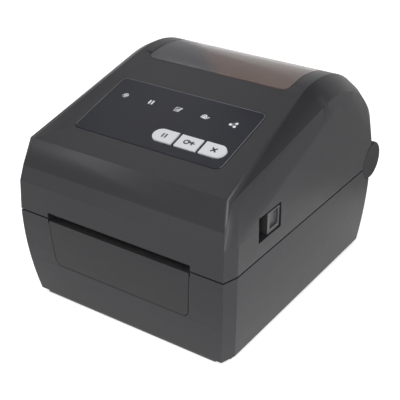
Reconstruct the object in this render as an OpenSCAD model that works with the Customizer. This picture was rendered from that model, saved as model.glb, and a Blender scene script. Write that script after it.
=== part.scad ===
/* [Case] */
// Width of the case at the parting line
case_w = 180; // [176:1:200]
// Distance from the middle of the case to its front face
front_reach = 112; // [111:1:120]
// Distance from the middle of the case to the rear wall of the base
rear_reach = 99; // [98:0.5:103]
// Height of the parting line between base and lid
waist_z = 74; // [73:0.5:76]
// Thickness of the moulded walls
wall = 2.8; // [2.4:0.1:3.2]
// How far each side wall of the base leans in at the bottom
side_taper = 5.5; // [4:0.5:7]
// How far the front of the base leans back at the bottom
front_taper = 7.6; // [6:0.2:8]
// How strongly the walls of the base curve in, 1 being straight
base_bow = 2; // [1.6:0.1:2.2]
// Width of the flat facet on each upright corner
facet_x = 3.5; // [3:0.5:5]
// Depth of the flat facet on each upright corner
facet_y = 11.5; // [9:0.5:14]
// Radius of the rounded panel, window and insert corners
corner_r = 5; // [3:0.5:6]

/* [Lid] */
// Radius of the crown over the roll
crown_r = 84; // [82:0.5:86]
// Distance of the crown centre behind the middle
crown_y = 31; // [29:0.5:32]
// Height of the crown centre
crown_z = 77.5; // [76:0.5:79]
// Radius of the tighter curve down the rear of the lid
nape_r = 48; // [46:0.5:52]
// Height angle on the crown at which that curve begins
nape_a = 38; // [34:1:42]
// Height of the lower crease of the lid front
brow_z = 109; // [105:0.5:112]
// How far the lower crease lies behind the front face
brow_back = 3.8; // [2:0.2:5]
// Height of the upper crease of the lid front
crease_z = 127; // [125:0.5:128.5]
// How far the upper crease lies behind the front face
crease_back = 12.6; // [11:0.2:14]
// How far inside the case the edge of the flat top lies at the upper crease
top_in_front = 11; // [10:0.5:13]
// How far inside the case the edge of the flat top lies over the crown
top_in_rear = 18.5; // [17:0.5:20]
// How far inside the case the outer edge of the shoulders lies
shoulder_in = 4; // [3.5:0.25:5]
// Drop from the flat top to the outer edge of the shoulders
shoulder_drop = 10; // [8:0.5:12]
// How far inside the case the side lies where it turns upright
side_in = 2; // [1.5:0.25:3]
// Drop from the flat top to where the side turns upright
side_drop = 20; // [17:0.5:23]

/* [Label path] */
// Width of the label slot
slot_w = 122; // [119:1:124]
// Height of the label slot above the parting line
slot_rise = 4.5; // [4:0.1:5]
// Depth of the label slot below the parting line
slot_sink = 1.6; // [1.4:0.1:2]
// Height of the print roller's axis
platen_z = 69; // [68.5:0.1:69.5]
// Distance of the print roller's axis behind the front face
platen_back = 15; // [14.8:0.1:16]
// Radius of the print roller
platen_r = 7; // [6.6:0.1:7.2]
// Length of the print roller's rubber
platen_len = 114; // [108:1:116]
// Radius of the print roller's shaft
shaft_r = 3; // [2.5:0.1:3.5]
// Height of the deck that the labels cross
deck_z = 68; // [67:0.1:68.5]
// Thickness of the deck
deck_t = 2.8; // [2:0.1:3]

/* [Roll] */
// Distance of the label roll's axis behind the middle
roll_y = 24; // [23:0.5:24]
// Height of the label roll's axis
roll_z = 84.5; // [84:0.5:86]
// Inside radius of the trough under the roll
trough_r = 66; // [64:0.5:66.5]
// Thickness of the trough
trough_t = 2.5; // [2:0.1:3]
// Half width between the roll holders when fully open
holder_half = 59; // [57:0.5:60]
// Travel of each roll holder towards the middle
holder_travel = 45; // [30:1:45]
// Thickness of a roll holder's plate
holder_t = 3; // [2.5:0.1:3]
// Radius of the free turning hub that enters the roll's core
hub_r = 12; // [10:0.5:12.5]

/* [Gears] */
// Tooth module of every gear and rack
tooth_m = 1; // [0.8:0.05:1]
// Teeth on the print roller's gear
platen_teeth = 18; // [17:1:18]
// Teeth on the idler gear
idler_teeth = 40; // [36:1:40]
// Teeth on the motor pinion
motor_teeth = 16; // [16:1:18]
// Teeth on the pinion between the roll holders
holder_teeth = 16; // [16:1:16]
// Width of each gear in the print drive
gear_w = 4; // [3:0.5:4]
// Play between meshing teeth
backlash = 0.2; // [0.15:0.05:0.3]

/* [Hinge] */
// Distance of the hinge axis behind the middle
hinge_y = 97; // [96:0.5:97]
// Height of the hinge axis
hinge_z = 76; // [75.5:0.5:76.5]
// Radius of the round hinge caps
cap_r = 15; // [13:0.5:16]
// Thickness of the round hinge caps
cap_w = 10; // [9:0.5:10]
// Radius of the hinge pins
hinge_pin_r = 2.5; // [2:0.1:3]

/* [Control panel] */
// Width of the glossy panel
panel_w = 123; // [118:1:124]
// Length of the glossy panel along the slope
panel_len = 62; // [58:0.5:63]
// Distance from the upper crease to the panel
panel_from = 21.5; // [20:0.5:23]
// Thickness of the glossy panel
panel_t = 1.2; // [1:0.1:1.4]
// Width of the middle key
key_w = 17.5; // [16:0.5:18]
// Length of each key along the slope
key_len = 12.3; // [11:0.1:13]
// Distance from the panel's front edge to the keys
key_from = 9; // [8:0.5:10]
// How far the keys stand out of the panel
key_rise = 0.8; // [0.6:0.1:1.2]
// Travel of each key
key_travel = 0.8; // [0.5:0.1:1]
// Distance from the panel's front edge to the status lights
light_from = 43.5; // [40:0.5:45]
// Spacing of the status lights
light_pitch = 23; // [20:0.1:24]

/* [Window] */
// Width of the window over the roll
window_w = 120; // [114:1:124]
// Distance of the window's front edge behind the middle
window_front = 8; // [6:0.5:12]
// Distance of the window's rear edge behind the middle
window_rear = 89; // [84:0.5:91]
// Thickness of the window
window_t = 2; // [1.6:0.1:2.2]

/* [Latches] */
// Distance of the latch pocket behind the front face
pocket_back = 37; // [35:0.5:38]
// Length of the latch pocket
pocket_len = 28.5; // [27:0.5:29]
// Height of the latch pocket's floor
pocket_z = 86; // [85:0.5:87]
// Height of the latch pocket
pocket_h = 18.5; // [18:0.5:20]
// Depth that the pocket's floor lies inside the widest half width
pocket_in = 7.5; // [7:0.1:8]
// Length of the latch's finger pad
pad_len = 15.5; // [15:0.5:16]
// Height of the latch's finger pad
pad_h = 16; // [14:0.5:17]
// Travel of the latch towards the front
latch_travel = 5; // [4:0.1:5]

/* [Underside] */
// Height of the rubber feet below the bottom plate
foot_h = 1.7; // [1.5:0.1:2.5]
// Radius of the rubber feet
foot_r = 8; // [6:0.5:9]
// Thickness of the bottom plate
plate_t = 2.3; // [2:0.1:3]
// Half width of the bottom plate's front edge
plate_half = 75; // [72:0.5:76]

/* [Fits] */
// Gap between a shaft and the hole it turns in
run_gap = 0.06; // [0.03:0.01:0.09]
// Gap between fixed pieces that seat in each other
seat_gap = 0.05; // [0.02:0.01:0.1]
// Gap around pieces that move past each other
slide_gap = 0.3; // [0.25:0.05:0.4]

/* [Hidden] */
$fn = 48;
sides = [-1, 1];
cut = 1;
land = 0.6;
crown_steps = 24;
base_z = foot_h + plate_t;
case_half = case_w / 2;
crease_y = crease_back - front_reach;
crease_out = [crease_y - crown_y, crease_z - crown_z];
tangent_a = atan2(crease_out[1], crease_out[0]) - acos(crown_r / norm(crease_out));
slope = tangent_a - 90;
brow = [brow_back - front_reach, brow_z];
crease = [crease_y, crease_z];
face_in = edge_in([-front_reach, waist_z], brow);
bevel_in = edge_in(brow, crease);
top_in = [sin(slope), -cos(slope)];
brow_side = 6;
top_half_front = case_half - top_in_front;
top_half_rear = case_half - top_in_rear;
shoulder_half = case_half - shoulder_in;
side_half = case_half - side_in;
nape_y = crown_y + (crown_r - nape_r) * cos(nape_a);
nape_z = crown_z + (crown_r - nape_r) * sin(nape_a);
nape_end = -20;
nape_steps = 14;
shoulders = [[(top_half_rear + shoulder_half) / 2, shoulder_drop * 0.38],
    [shoulder_half, shoulder_drop], [side_half, side_drop]];
girth_z = 96;
girth_side = 0.3;
girth_front = 1.3;
girth_rear = 2;
base_steps = 7;
lid_back_z = hinge_z + 6;
cap_in = case_half - cap_w;
ear_gap = 0.5;
ear_w = 4;
lid_ear_in = cap_in - ear_gap - ear_w;
base_ear_out = lid_ear_in - ear_gap;
base_ear_in = base_ear_out - ear_w - 0.5;
base_ear_r = lid_back_z - hinge_z - slide_gap;
lid_ear_r = 8;
cap_seat = 0.05;
platen_y = platen_back - front_reach;
deck_bottom = deck_z - deck_t;
deck_front = platen_y + platen_r + 4.5;
frame_in = platen_len / 2 + 5;
frame_t = 2.5;
frame_out = frame_in + frame_t;
bushing_r = 5;
gear_in = frame_out + 2;
motor_r = 17.5;
motor_len = 21;
motor_back = 41.5;
motor_drop = 32.4;
trough_gap = 1;
tray_reach = trough_r + 14;
ledge_y = [-60, 30];
rail_slot = [-56, 10];
trough_out = trough_r + trough_t + trough_gap;
motor_z = platen_z - motor_drop;
motor_limit = roll_y - sqrt(pow(trough_out + motor_r, 2) - pow(roll_z - motor_z, 2));
motor_y = min(platen_y + motor_back, motor_limit);
idler_dist = tooth_m * (platen_teeth + idler_teeth) / 2;
motor_dist = tooth_m * (idler_teeth + motor_teeth) / 2;
drive_span = norm([motor_y - platen_y, motor_drop]);
drive_cos = (pow(idler_dist, 2) + pow(drive_span, 2) - pow(motor_dist, 2))
    / (2 * idler_dist * drive_span);
idler_a = atan2(-motor_drop, motor_y - platen_y) - acos(drive_cos);
idler_y = platen_y + idler_dist * cos(idler_a);
idler_z = platen_z + idler_dist * sin(idler_a);
motor_a = atan2(motor_z - idler_z, motor_y - idler_y);
stud_r = 2.5;
platen_phase = idler_a;
idler_phase = meshed(platen_phase, platen_teeth, idler_a, idler_teeth);
motor_phase = meshed(idler_phase, idler_teeth, motor_a, motor_teeth);
trough_low = roll_z - trough_r - trough_t;
rack_pitch_r = tooth_m * holder_teeth / 2;
rack_h = 3.8;
rack_top = trough_low - 3.6;
rack_z = rack_top - rack_h;
rack_back = rack_pitch_r + tooth_m * 1.2 + 3.8;
rack_reach = 14;
neck_w = 4;
neck_from = rack_back - neck_w;
post_r = 2.5;
spindle_r = 3;
spindle_len = 7;
hub_flange_r = 17;
hub_flange_t = 1.5;
rail_y = deck_front + 6;
rail_z = deck_bottom - 4;
rail_r = 1.5;
panel_s = panel_from + panel_len / 2;
key_gap = 2.3;
end_key_w = 18;
key_s = panel_from + key_from + key_len / 2;
key_mid_x = 27.6;
key_pitch = key_w / 2 + key_gap + end_key_w / 2;
key_flange = 1;
key_flange_t = 0.8;
board_s = panel_from + panel_len / 2;
board_t = 1.6;
board_w = 118;
board_len = 60;
board_top = -wall - key_flange_t - key_travel - 1.5;
light_s = panel_from + light_from;
light_r = 2.4;
light_x0 = -0.8;
post_x = board_w / 2 - 4;
pocket_y = pocket_back - front_reach;
pad_y = pocket_y + pocket_len - 0.5 - pad_len;
pad_out = case_half - 1.3;
pad_dip = 2;
shank_y = pad_y + 2;
shank_size = 8;
hook_x = case_half - pocket_in - 6.5;
pocket_t = 2;
hook_t = 4;
hook_y = pad_y + 3;
hook_len = 10;
pocket_x = case_half - pocket_in;
hook_z = deck_z + 0.5;
keeper_gap = 0.3;
head_y = platen_y;
head_z = platen_z + platen_r + 0.4;
ceramic_t = 2.6;
sink_h = 8;
bracket_t = 1.5;
head_half = 58;
head_front = head_y - 5.5;
head_back = head_y + 11;
pivot_y = head_y + 13;
bracket_z = head_z + ceramic_t + sink_h;
pivot_z = bracket_z + 4.5;
pivot_r = 1.5;
lid_frame_z = bracket_z + 10;
lid_frame_t = 2.5;
lid_frame_half = hook_x - 3;
boss_x = lid_frame_half - 6;
plate_out = case_half - side_taper - 2;
boss_y = [head_y + 5.6, head_y + 41.6];
spring_x = 30;
spring_y = head_y + 2;
board_y = 75;
board_half_w = 60;
board_half_len = 18;
board_z = base_z + 6;
rear_taper = 1.5;
rear_facet_x = 6;
rear_facet_y = 4;
port_face = rear_reach - rear_taper;
usb_x = -12;
usb_size = [12, 16, 11];
network_x = 14;
network_size = [16, 18, 13.5];
power_x = -38;
power_size = [10, 14, 11];
switch_x = 46;
switch_z = 36;
rocker_half = 7.6;
rocker_rest = -7;
board_top_z = board_z + board_t;
switch_w = 12.6;
switch_h = 20.6;
rocker_w = 9.4;
rocker_y = rear_reach - 3;
insert_t = 1.6;
insert_z = 36;
lip_t = 2.2;
bar_half = slot_w / 2 - 0.5;
pad_z = pocket_z + slide_gap;
shank_z = pad_z + 3;
post_s = board_len / 2 - 3;
screw_r = 1.25;
screw_head_r = 2.8;
small_screw_r = 0.9;
base_boss_x = case_half - side_taper - wall - 3.8;
base_boss_h = 20;
base_boss_r = 5;
boss_points = [[base_boss_x, 26 - front_reach], [base_boss_x, rear_reach - 19]];
foot_points = [[58, 24 - front_reach], [58, rear_reach - 17]];

// Angle that puts the second gear's teeth in mesh with the first gear's
function meshed(phase, teeth, direction, next_teeth) =
    direction + 180 - 180 / next_teeth + (direction - phase) * teeth / next_teeth;

// Unit vector into the lid from the side outline's edge between two points
function edge_in(a, b) = [b.y - a.y, a.x - b.x] / norm(b - a);

// Corner between two edges of the side outline, moved into the lid
function corner_in(p, a, b, inset) = p + inset * (a + b) / (1 + a * b);

function brow_in(inset) = corner_in(brow, face_in, bevel_in, inset);

function crease_in(inset) = corner_in(crease, bevel_in, top_in, inset);

// Points on an arc from one angle to another
function arc(centre, r, from, to, steps) =
    [for (i = [0:steps]) centre + on_circle(r, from + (to - from) * i / steps)];

// Side outline of the crown and of the tighter curve behind it
function crown_points(inset) =
    concat(arc([crown_y, crown_z], crown_r - inset, tangent_a, nape_a, crown_steps),
        arc([nape_y, nape_z], nape_r - inset, nape_a, nape_end, nape_steps));

// Side outline of the whole lid above the hinge
function shoulder_points(inset) = concat([brow_in(inset), crease_in(inset)], crown_points(inset));

// How far a wall of the base has leaned in at a given height, from 0 at the top to 1
function lean(z) = pow((waist_z - z) / (waist_z - base_z), base_bow);

// Outside half width of the base at a given height
function base_half(z) = case_half - side_taper * lean(z);

// Distance of the base's front wall from the middle at a given height
function base_front(z) = front_reach - front_taper * lean(z);

// Distance of the base's rear wall from the middle at a given height
function base_rear(z) = rear_reach - rear_taper * lean(z);

// Involute roll-off of a flank at a radius, in degrees
function involute(base_r, r) = tan(acos(base_r / r)) * 180 / PI - acos(base_r / r);

// Angle from a tooth's middle to its flank at a radius
function flank(teeth, r, pitch_r, base_r) =
    90 / teeth - backlash / 4 / pitch_r * 180 / PI + involute(base_r, pitch_r)
    - involute(base_r, max(r, base_r));

function on_circle(r, a) = [r * cos(a), r * sin(a)];

// Outline of a spur gear whose first tooth points along a given angle
function gear_points(teeth, phase) =
    let (
        pitch_r = tooth_m * teeth / 2,
        base_r = pitch_r * cos(20),
        root_r = pitch_r - 1.2 * tooth_m,
        tip_r = pitch_r + 0.9 * tooth_m,
        low_r = max(base_r, root_r),
        radii = [root_r, for (i = [0:3]) low_r + (tip_r - low_r) * i / 3]
    )
    [for (tooth = [0:teeth - 1])
        let (middle = phase + tooth * 360 / teeth)
        for (i = [0:9])
            let (
                r = i < 5 ? radii[i] : radii[9 - i],
                side = i < 5 ? -1 : 1
            )
            on_circle(r, middle + side * flank(teeth, r, pitch_r, base_r))];

// Outline of a rack along X whose pitch line is Y = 0 and whose teeth point to -Y
function rack_points(from, to) =
    let (
        pitch = PI * tooth_m,
        half = pitch / 4 - backlash / 4,
        tip = half - 0.9 * tooth_m * tan(20),
        root = half + 1.2 * tooth_m * tan(20),
        first = ceil((from + root) / pitch - 0.5),
        last = floor((to - root) / pitch - 0.5)
    )
    concat(
        [[from, rack_back - rack_pitch_r], [from, 1.2 * tooth_m]],
        [for (tooth = [first:last])
            let (x = (tooth + 0.5) * pitch)
            each [[x - root, 1.2 * tooth_m], [x - tip, -0.9 * tooth_m],
                [x + tip, -0.9 * tooth_m], [x + root, 1.2 * tooth_m]]],
        [[to, 1.2 * tooth_m], [to, rack_back - rack_pitch_r]]);

// Turns what is drawn in XY into the YZ plane, extruded along X
module along_x(length, x = 0) {
    translate([x, 0, 0])
        rotate([90, 0, 90])
            linear_extrude(length)
                children();
}

// Cylinder along X from one place to another
module rod_x(r, from, to, y, z) {
    translate([from, y, z])
        rotate([0, 90, 0])
            cylinder(h = to - from, r = r);
}

// Box between two corners
module block(low, high) {
    translate(low)
        cube(high - low);
}

// Rounded rectangle
module rounded_rect(w, l, r) {
    square([w, l - 2 * r], center = true);
    square([w - 2 * r, l], center = true);
    for (x = sides, y = sides) {
        translate([x * (w / 2 - r), y * (l / 2 - r)])
            circle(r);
    }
}

// Plan outline with a flat facet on each upright corner
module plan_outline(half, front, rear) {
    polygon([[facet_x - half, -front], [half - facet_x, -front], [half, facet_y - front],
        [half, rear - rear_facet_y], [half - rear_facet_x, rear], [rear_facet_x - half, rear],
        [-half, rear - rear_facet_y], [-half, facet_y - front]]);
}

// Extrudes a side outline over the whole width
module bar(half, points) {
    along_x(2 * half, -half)
        polygon(points);
}

// Outer shape of the lid, or the same shape drawn in by an inset
module lid_form(inset = 0, low_z = waist_z) {
    hull() {
        bar(top_half_rear - inset, crown_points(inset));
        for (row = shoulders) {
            bar(row[0] - inset, shoulder_points(row[1] + inset));
        }
        bar(top_half_front - inset, [crease_in(inset), crease_in(inset + land), brow_in(inset + 2 * land)]);
        bar(case_half - brow_side - inset,
            [brow_in(inset), crease_in(inset + 2 * land), brow_in(inset + land)]);
        translate([0, 0, girth_z])
            linear_extrude(land)
                plan_outline(case_half - girth_side - inset, front_reach - girth_front - inset,
                    rear_reach - girth_rear - inset);
        translate([0, 0, low_z])
            linear_extrude(waist_z + land - low_z)
                plan_outline(case_half - inset, front_reach - inset, rear_reach - inset);
    }
}

// Outer shape of the base, or the same shape drawn in by an inset
module base_form(inset = 0, below = 0, above = 0) {
    hull() {
        translate([0, 0, waist_z - land])
            linear_extrude(land + above)
                plan_outline(case_half - inset, front_reach - inset, rear_reach - inset);
        for (i = [1:base_steps - 1]) {
            z = waist_z - (waist_z - base_z) * i / base_steps;
            translate([0, 0, z])
                linear_extrude(land)
                    plan_outline(base_half(z) - inset, base_front(z) - inset, base_rear(z) - inset);
        }
        translate([0, 0, base_z - below])
            linear_extrude(land + below)
                plan_outline(case_half - side_taper - inset, front_reach - front_taper - inset,
                    rear_reach - rear_taper - inset);
    }
}

// Draws the same thing on the right and mirrored on the left
module both() {
    for (side = [0, 1]) {
        mirror([side, 0, 0])
            children();
    }
}

// Moves to the sloping top: X across, Y up the slope from the upper crease, Z outwards
module on_top() {
    translate([0, crease_y, crease_z])
        rotate([slope, 0, 0])
            children();
}

// Outline of one key; the end keys are round on their outer side
module key_shape(place, grow = 0) {
    r = key_len / 2;
    if (place == 0) {
        square([key_w + 2 * grow, key_len + 2 * grow], center = true);
    }
    if (place != 0) {
        translate([place * (end_key_w / 2 - r), 0])
            circle(r + grow);
        translate([place * (grow - r) / 2 - place * grow, 0])
            square([end_key_w - r + grow, key_len + 2 * grow], center = true);
    }
}

// Moves to a key's middle on the sloping top
module at_key(place) {
    on_top()
        translate([key_mid_x + place * key_pitch, key_s, 0])
            children();
}

// Column that the front insert and its recess are cut from
module insert_column(grow = 0) {
    half = slot_w / 2 - 1;
    translate([0, -base_front(base_z) + 20, 0])
        rotate([90, 0, 0])
            linear_extrude(40)
                hull() {
                    for (s = sides) {
                        translate([s * (half - corner_r - 2), insert_z + corner_r])
                            circle(corner_r + grow, $fn = 32);
                        translate([s * (half + grow - 1), waist_z - slot_sink - 1])
                            square(2, center = true);
                    }
                }
}

// Column that the window and its opening are cut from
module window_column(grow = 0) {
    length = window_rear - window_front;
    translate([0, window_front + length / 2, crown_z + 20])
        linear_extrude(crown_r)
            rounded_rect(window_w + 2 * grow, length + 2 * grow, corner_r + grow);
}

// Opening for a port in the rear wall of the base
module port_cut(x, size) {
    translate([x, rear_reach, board_top_z + size.z / 2])
        cube([size.x + 2 * slide_gap, 20, size.z + 2 * slide_gap], center = true);
}

module base_shell() {
    color([0.27, 0.27, 0.28])
        difference() {
            union() {
                difference() {
                    base_form();
                    base_form(wall, cut, cut);
                }
                block([-base_ear_out, rear_reach - wall, waist_z - 10],
                    [base_ear_out, rear_reach, lid_back_z - slide_gap]);
                both() {
                    base_ear();
                    tray_ledge(ledge_y[0]);
                    tray_ledge(ledge_y[1]);
                    for (p = boss_points) {
                        translate([p.x, p.y, base_z])
                            cylinder(h = base_boss_h, r = base_boss_r);
                        block([p.x, p.y - 1, base_z],
                            [base_half(base_z) - 0.5, p.y + 1, base_z + base_boss_h]);
                    }
                }
            }
            both() {
                block([base_ear_out, hinge_y - 12, hinge_z - lid_ear_r - 1.2],
                    [cap_in, rear_reach + cut, lid_back_z + cut]);
                rod_x(cap_r + cap_seat, cap_in - cap_seat, case_half + cut, hinge_y, hinge_z);
                rod_x(hinge_pin_r + seat_gap, base_ear_in - cut, base_ear_out + cut, hinge_y, hinge_z);
                for (p = boss_points) {
                    translate([p.x, p.y, base_z - cut])
                        cylinder(h = 15, r = screw_r + seat_gap);
                }
            }
            block([-slot_w / 2, -front_reach - cut, waist_z - slot_sink - lip_t - seat_gap],
                [slot_w / 2, -front_reach + 8, waist_z + cut]);
            difference() {
                insert_column(slide_gap);
                base_form(insert_t + seat_gap);
            }
            port_cut(usb_x, usb_size);
            port_cut(network_x, network_size);
            port_cut(power_x, power_size);
            translate([switch_x, rear_reach, switch_z])
                cube([switch_w + 2 * seat_gap, 20, switch_h + 2 * seat_gap], center = true);
        }
}

// Ear inside the rear wall that carries a hinge pin
module base_ear() {
    rod_x(base_ear_r, base_ear_in, base_ear_out, hinge_y, hinge_z);
    block([base_ear_in, hinge_y - 3, hinge_z - 16], [base_ear_out, rear_reach - 0.5, hinge_z]);
}

// Ledge on the side wall that the media tray rests on
module tray_ledge(y) {
    block([base_half(deck_bottom) - wall - 5, y, deck_bottom - 5],
        [base_half(deck_bottom) - 1.2, y + 30, deck_bottom]);
}

module bottom_plate() {
    front = base_front(base_z) - 1;
    color([0.33, 0.33, 0.34])
        difference() {
            union() {
                translate([0, 0, foot_h])
                    linear_extrude(plate_t)
                        polygon([[-plate_half, -front], [plate_half, -front],
                            [plate_out, 9 - front], [plate_out, rear_reach - 4],
                            [-plate_out, rear_reach - 4], [-plate_out, 9 - front]]);
                for (x = sides, y = sides) {
                    translate([x * (board_half_w - 5), board_y + y * (board_half_len - 5), base_z])
                        cylinder(h = board_z - base_z, r = 3);
                }
            }
            both() {
                for (p = boss_points) {
                    translate([p.x, p.y, 0]) {
                        cylinder(h = 50, r = screw_r + 0.25);
                        cylinder(h = foot_h + plate_t / 2, r = screw_head_r + 0.25);
                    }
                }
            }
        }
}

module rubber_feet() {
    color([0.12, 0.12, 0.12])
        both() {
            for (p = foot_points) {
                translate([p.x, p.y, 0])
                    cylinder(h = foot_h, r = foot_r);
            }
        }
}

module base_screws() {
    color([0.7, 0.7, 0.7])
        both() {
            for (p = boss_points) {
                translate([p.x, p.y, foot_h + 0.1]) {
                    cylinder(h = plate_t / 2 - 0.1, r = screw_head_r);
                    cylinder(h = 14, r = screw_r);
                }
            }
        }
}

module front_insert() {
    color([0.25, 0.25, 0.26])
        union() {
            intersection() {
                insert_column();
                difference() {
                    base_form();
                    base_form(insert_t, cut, cut);
                }
            }
            block([-slot_w / 2 + 1, -front_reach + 1, waist_z - slot_sink - lip_t],
                [slot_w / 2 - 1, platen_y - platen_r - 1, waist_z - slot_sink]);
        }
}

module media_tray() {
    half = base_half(deck_bottom) - wall - slide_gap;
    end_half = holder_half + 13;
    color([0.16, 0.16, 0.17])
        difference() {
            union() {
                block([-half, deck_front, deck_bottom], [half, hinge_y - 3.4, deck_z]);
                intersection() {
                    rod_x(trough_r + trough_t, -end_half - trough_t, end_half + trough_t, roll_y, roll_z);
                    block([-case_half, roll_y - tray_reach, 0], [case_half, roll_y + tray_reach, deck_z]);
                }
                translate([0, roll_y, rack_top + 0.4])
                    cylinder(h = 6, r = 4.5);
                translate([0, roll_y, rack_z - 0.4])
                    cylinder(h = 10, r = post_r);
            }
            difference() {
                rod_x(trough_r, -end_half, end_half, roll_y, roll_z);
                translate([0, roll_y, 0])
                    cylinder(h = trough_low + trough_t + 0.5, r = 4.5);
            }
            holder_slot(0);
            holder_slot(180);
            both()
                block([cap_in - 1, hinge_y - cap_r - 1, 0], [case_half, hinge_y, deck_z + cut]);
            block([rail_slot[0], rail_y - 3.2, 0], [rail_slot[1], rail_y + 3.2, deck_z + cut]);
            translate([0, roll_y, rack_z - cut])
                cylinder(h = 6, r = screw_r + seat_gap);
        }
}

// Slot in the trough that a roll holder's neck slides in
module holder_slot(turn) {
    translate([0, roll_y, 0])
        rotate([0, 0, turn])
            block([-holder_half - holder_t - 0.6, neck_from - 0.5, 0],
                [-holder_half + holder_travel + 0.6, rack_back + 0.5, roll_z - trough_r / 2]);
}

module frame_plate(mirrored) {
    front = wall + 1.2 - base_front(platen_z - 8);
    cut_a = 36;
    rear = min(motor_y + motor_r + 2, roll_y - trough_out * cos(cut_a));
    trough_front = roll_y - trough_out;
    mirror([mirrored, 0, 0])
        difference() {
            along_x(frame_t, frame_in)
                polygon([[wall + 1 - base_front(base_z), base_z], [front, platen_z - 8],
                    [front, platen_z + platen_r], [deck_front - 2.5, platen_z + platen_r],
                    [deck_front - 2.5, deck_bottom], [trough_front, deck_bottom],
                    [rear, roll_z - (trough_r + trough_t) * sin(cut_a)], [rear, base_z]]);
            rod_x(bushing_r + 0.02, frame_in - cut, frame_out + cut, platen_y, platen_z);
            rod_x(rail_r + 0.02, frame_in - cut, frame_out + cut, rail_y, rail_z);
            if (mirrored == 0) {
                rod_x(stud_r + 0.02, frame_in - cut, frame_out + cut, idler_y, idler_z);
                rod_x(6, frame_in - cut, frame_out + cut, motor_y, motor_z);
            }
        }
}

module frame_plate_left() {
    color([0.6, 0.62, 0.64])
        frame_plate(1);
}

module frame_plate_right() {
    color([0.6, 0.62, 0.64])
        frame_plate(0);
}

module platen_bushings() {
    color([0.9, 0.9, 0.86])
        both()
            difference() {
                rod_x(bushing_r, frame_in - 0.8, frame_out + 0.8, platen_y, platen_z);
                rod_x(shaft_r + run_gap, frame_in - 2, frame_out + 2, platen_y, platen_z);
            }
}

module platen_shaft() {
    color([0.75, 0.75, 0.77])
        rod_x(shaft_r, -frame_out - 2, gear_in + gear_w + 1, platen_y, platen_z);
}

module platen_rubber() {
    color([0.1, 0.1, 0.1])
        difference() {
            rod_x(platen_r, -platen_len / 2, platen_len / 2, platen_y, platen_z);
            rod_x(shaft_r + 0.02, -platen_len, platen_len, platen_y, platen_z);
        }
}

// Spur gear on an axis along X
module gear(teeth, phase, y, z) {
    translate([gear_in, y, z])
        rotate([90, 0, 90])
            linear_extrude(gear_w)
                polygon(gear_points(teeth, phase));
}

module platen_gear() {
    color([0.9, 0.9, 0.86])
        difference() {
            gear(platen_teeth, platen_phase, platen_y, platen_z);
            rod_x(shaft_r + 0.02, gear_in - cut, gear_in + gear_w + cut, platen_y, platen_z);
        }
}

module idler_stud() {
    color([0.75, 0.75, 0.77])
        union() {
            rod_x(stud_r, frame_in, gear_in + gear_w + 1, idler_y, idler_z);
            rod_x(stud_r + 1.5, gear_in + gear_w + 0.4, gear_in + gear_w + 1.4, idler_y, idler_z);
        }
}

module idler_gear() {
    color([0.9, 0.9, 0.86])
        difference() {
            union() {
                gear(idler_teeth, idler_phase, idler_y, idler_z);
                rod_x(stud_r + 2.5, frame_out + 0.4, gear_in + 0.5, idler_y, idler_z);
            }
            rod_x(stud_r + run_gap, frame_out, gear_in + gear_w + cut, idler_y, idler_z);
        }
}

module stepper_motor() {
    color([0.65, 0.66, 0.68])
        difference() {
            rod_x(motor_r, frame_in - motor_len, frame_in, motor_y, motor_z);
            rod_x(2 + run_gap, frame_in - 7, frame_in + cut, motor_y, motor_z);
        }
}

module motor_pinion() {
    color([0.85, 0.75, 0.45])
        union() {
            gear(motor_teeth, motor_phase, motor_y, motor_z);
            rod_x(2, frame_in - 6.5, gear_in + gear_w, motor_y, motor_z);
        }
}

module sensor_rail() {
    color([0.75, 0.75, 0.77])
        rod_x(rail_r, -frame_out, frame_out, rail_y, rail_z);
}

module mark_sensor() {
    color([0.2, 0.3, 0.25])
        difference() {
            block([-4, rail_y - 2.7, rail_z - 3], [4, rail_y + 2.7, deck_z - 0.4]);
            rod_x(rail_r + run_gap, -5, 5, rail_y, rail_z);
        }
}

module latch_keepers() {
    color([0.6, 0.62, 0.64])
        both()
            block([hook_x - 0.5, hook_y + hook_len + keeper_gap, deck_z],
                [hook_x + hook_t + 0.5, hook_y + hook_len + keeper_gap + 5, deck_z + 4.5]);
}

module hinge_pins() {
    color([0.75, 0.75, 0.77])
        both()
            rod_x(hinge_pin_r, base_ear_in, cap_in + 7, hinge_y, hinge_z);
}

module hinge_caps() {
    edge = 1.5;
    color([0.27, 0.27, 0.28])
        both()
            translate([cap_in, hinge_y, hinge_z])
                rotate([0, 90, 0])
                    difference() {
                        rotate_extrude($fn = 96) {
                            square([cap_r, cap_w - edge]);
                            square([cap_r - edge, cap_w]);
                            translate([cap_r - edge, cap_w - edge])
                                circle(edge);
                        }
                        translate([0, 0, -cut])
                            cylinder(h = 7.2 + cut, r = hinge_pin_r + 0.02);
                    }
}

// Roll holder on the left: plate, spindle, neck and rack
module roll_holder() {
    inner = -holder_half;
    outer = inner - holder_t;
    union() {
        intersection() {
            rod_x(trough_r - 0.5, outer, inner, roll_y, roll_z);
            along_x(holder_t, outer)
                translate([roll_y, roll_z]) {
                    circle(24);
                    polygon([[-16, 10], [16, 10], [24, -trough_r], [-24, -trough_r]]);
                }
        }
        rod_x(spindle_r, inner - cut, inner + spindle_len, roll_y, roll_z);
        rod_x(spindle_r + 1.6, inner + spindle_len - 0.4, inner + spindle_len + 0.8, roll_y, roll_z);
        translate([0, roll_y, 0]) {
            block([outer, neck_from, rack_z], [inner, rack_back, roll_z - trough_r + 10]);
            translate([0, rack_pitch_r, rack_z])
                linear_extrude(rack_h)
                    polygon(rack_points(outer, rack_reach));
        }
    }
}

module roll_holder_left() {
    color([0.2, 0.2, 0.21])
        roll_holder();
}

module roll_holder_right() {
    color([0.2, 0.2, 0.21])
        translate([0, roll_y, 0])
            rotate([0, 0, 180])
                translate([0, -roll_y, 0])
                    roll_holder();
}

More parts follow.
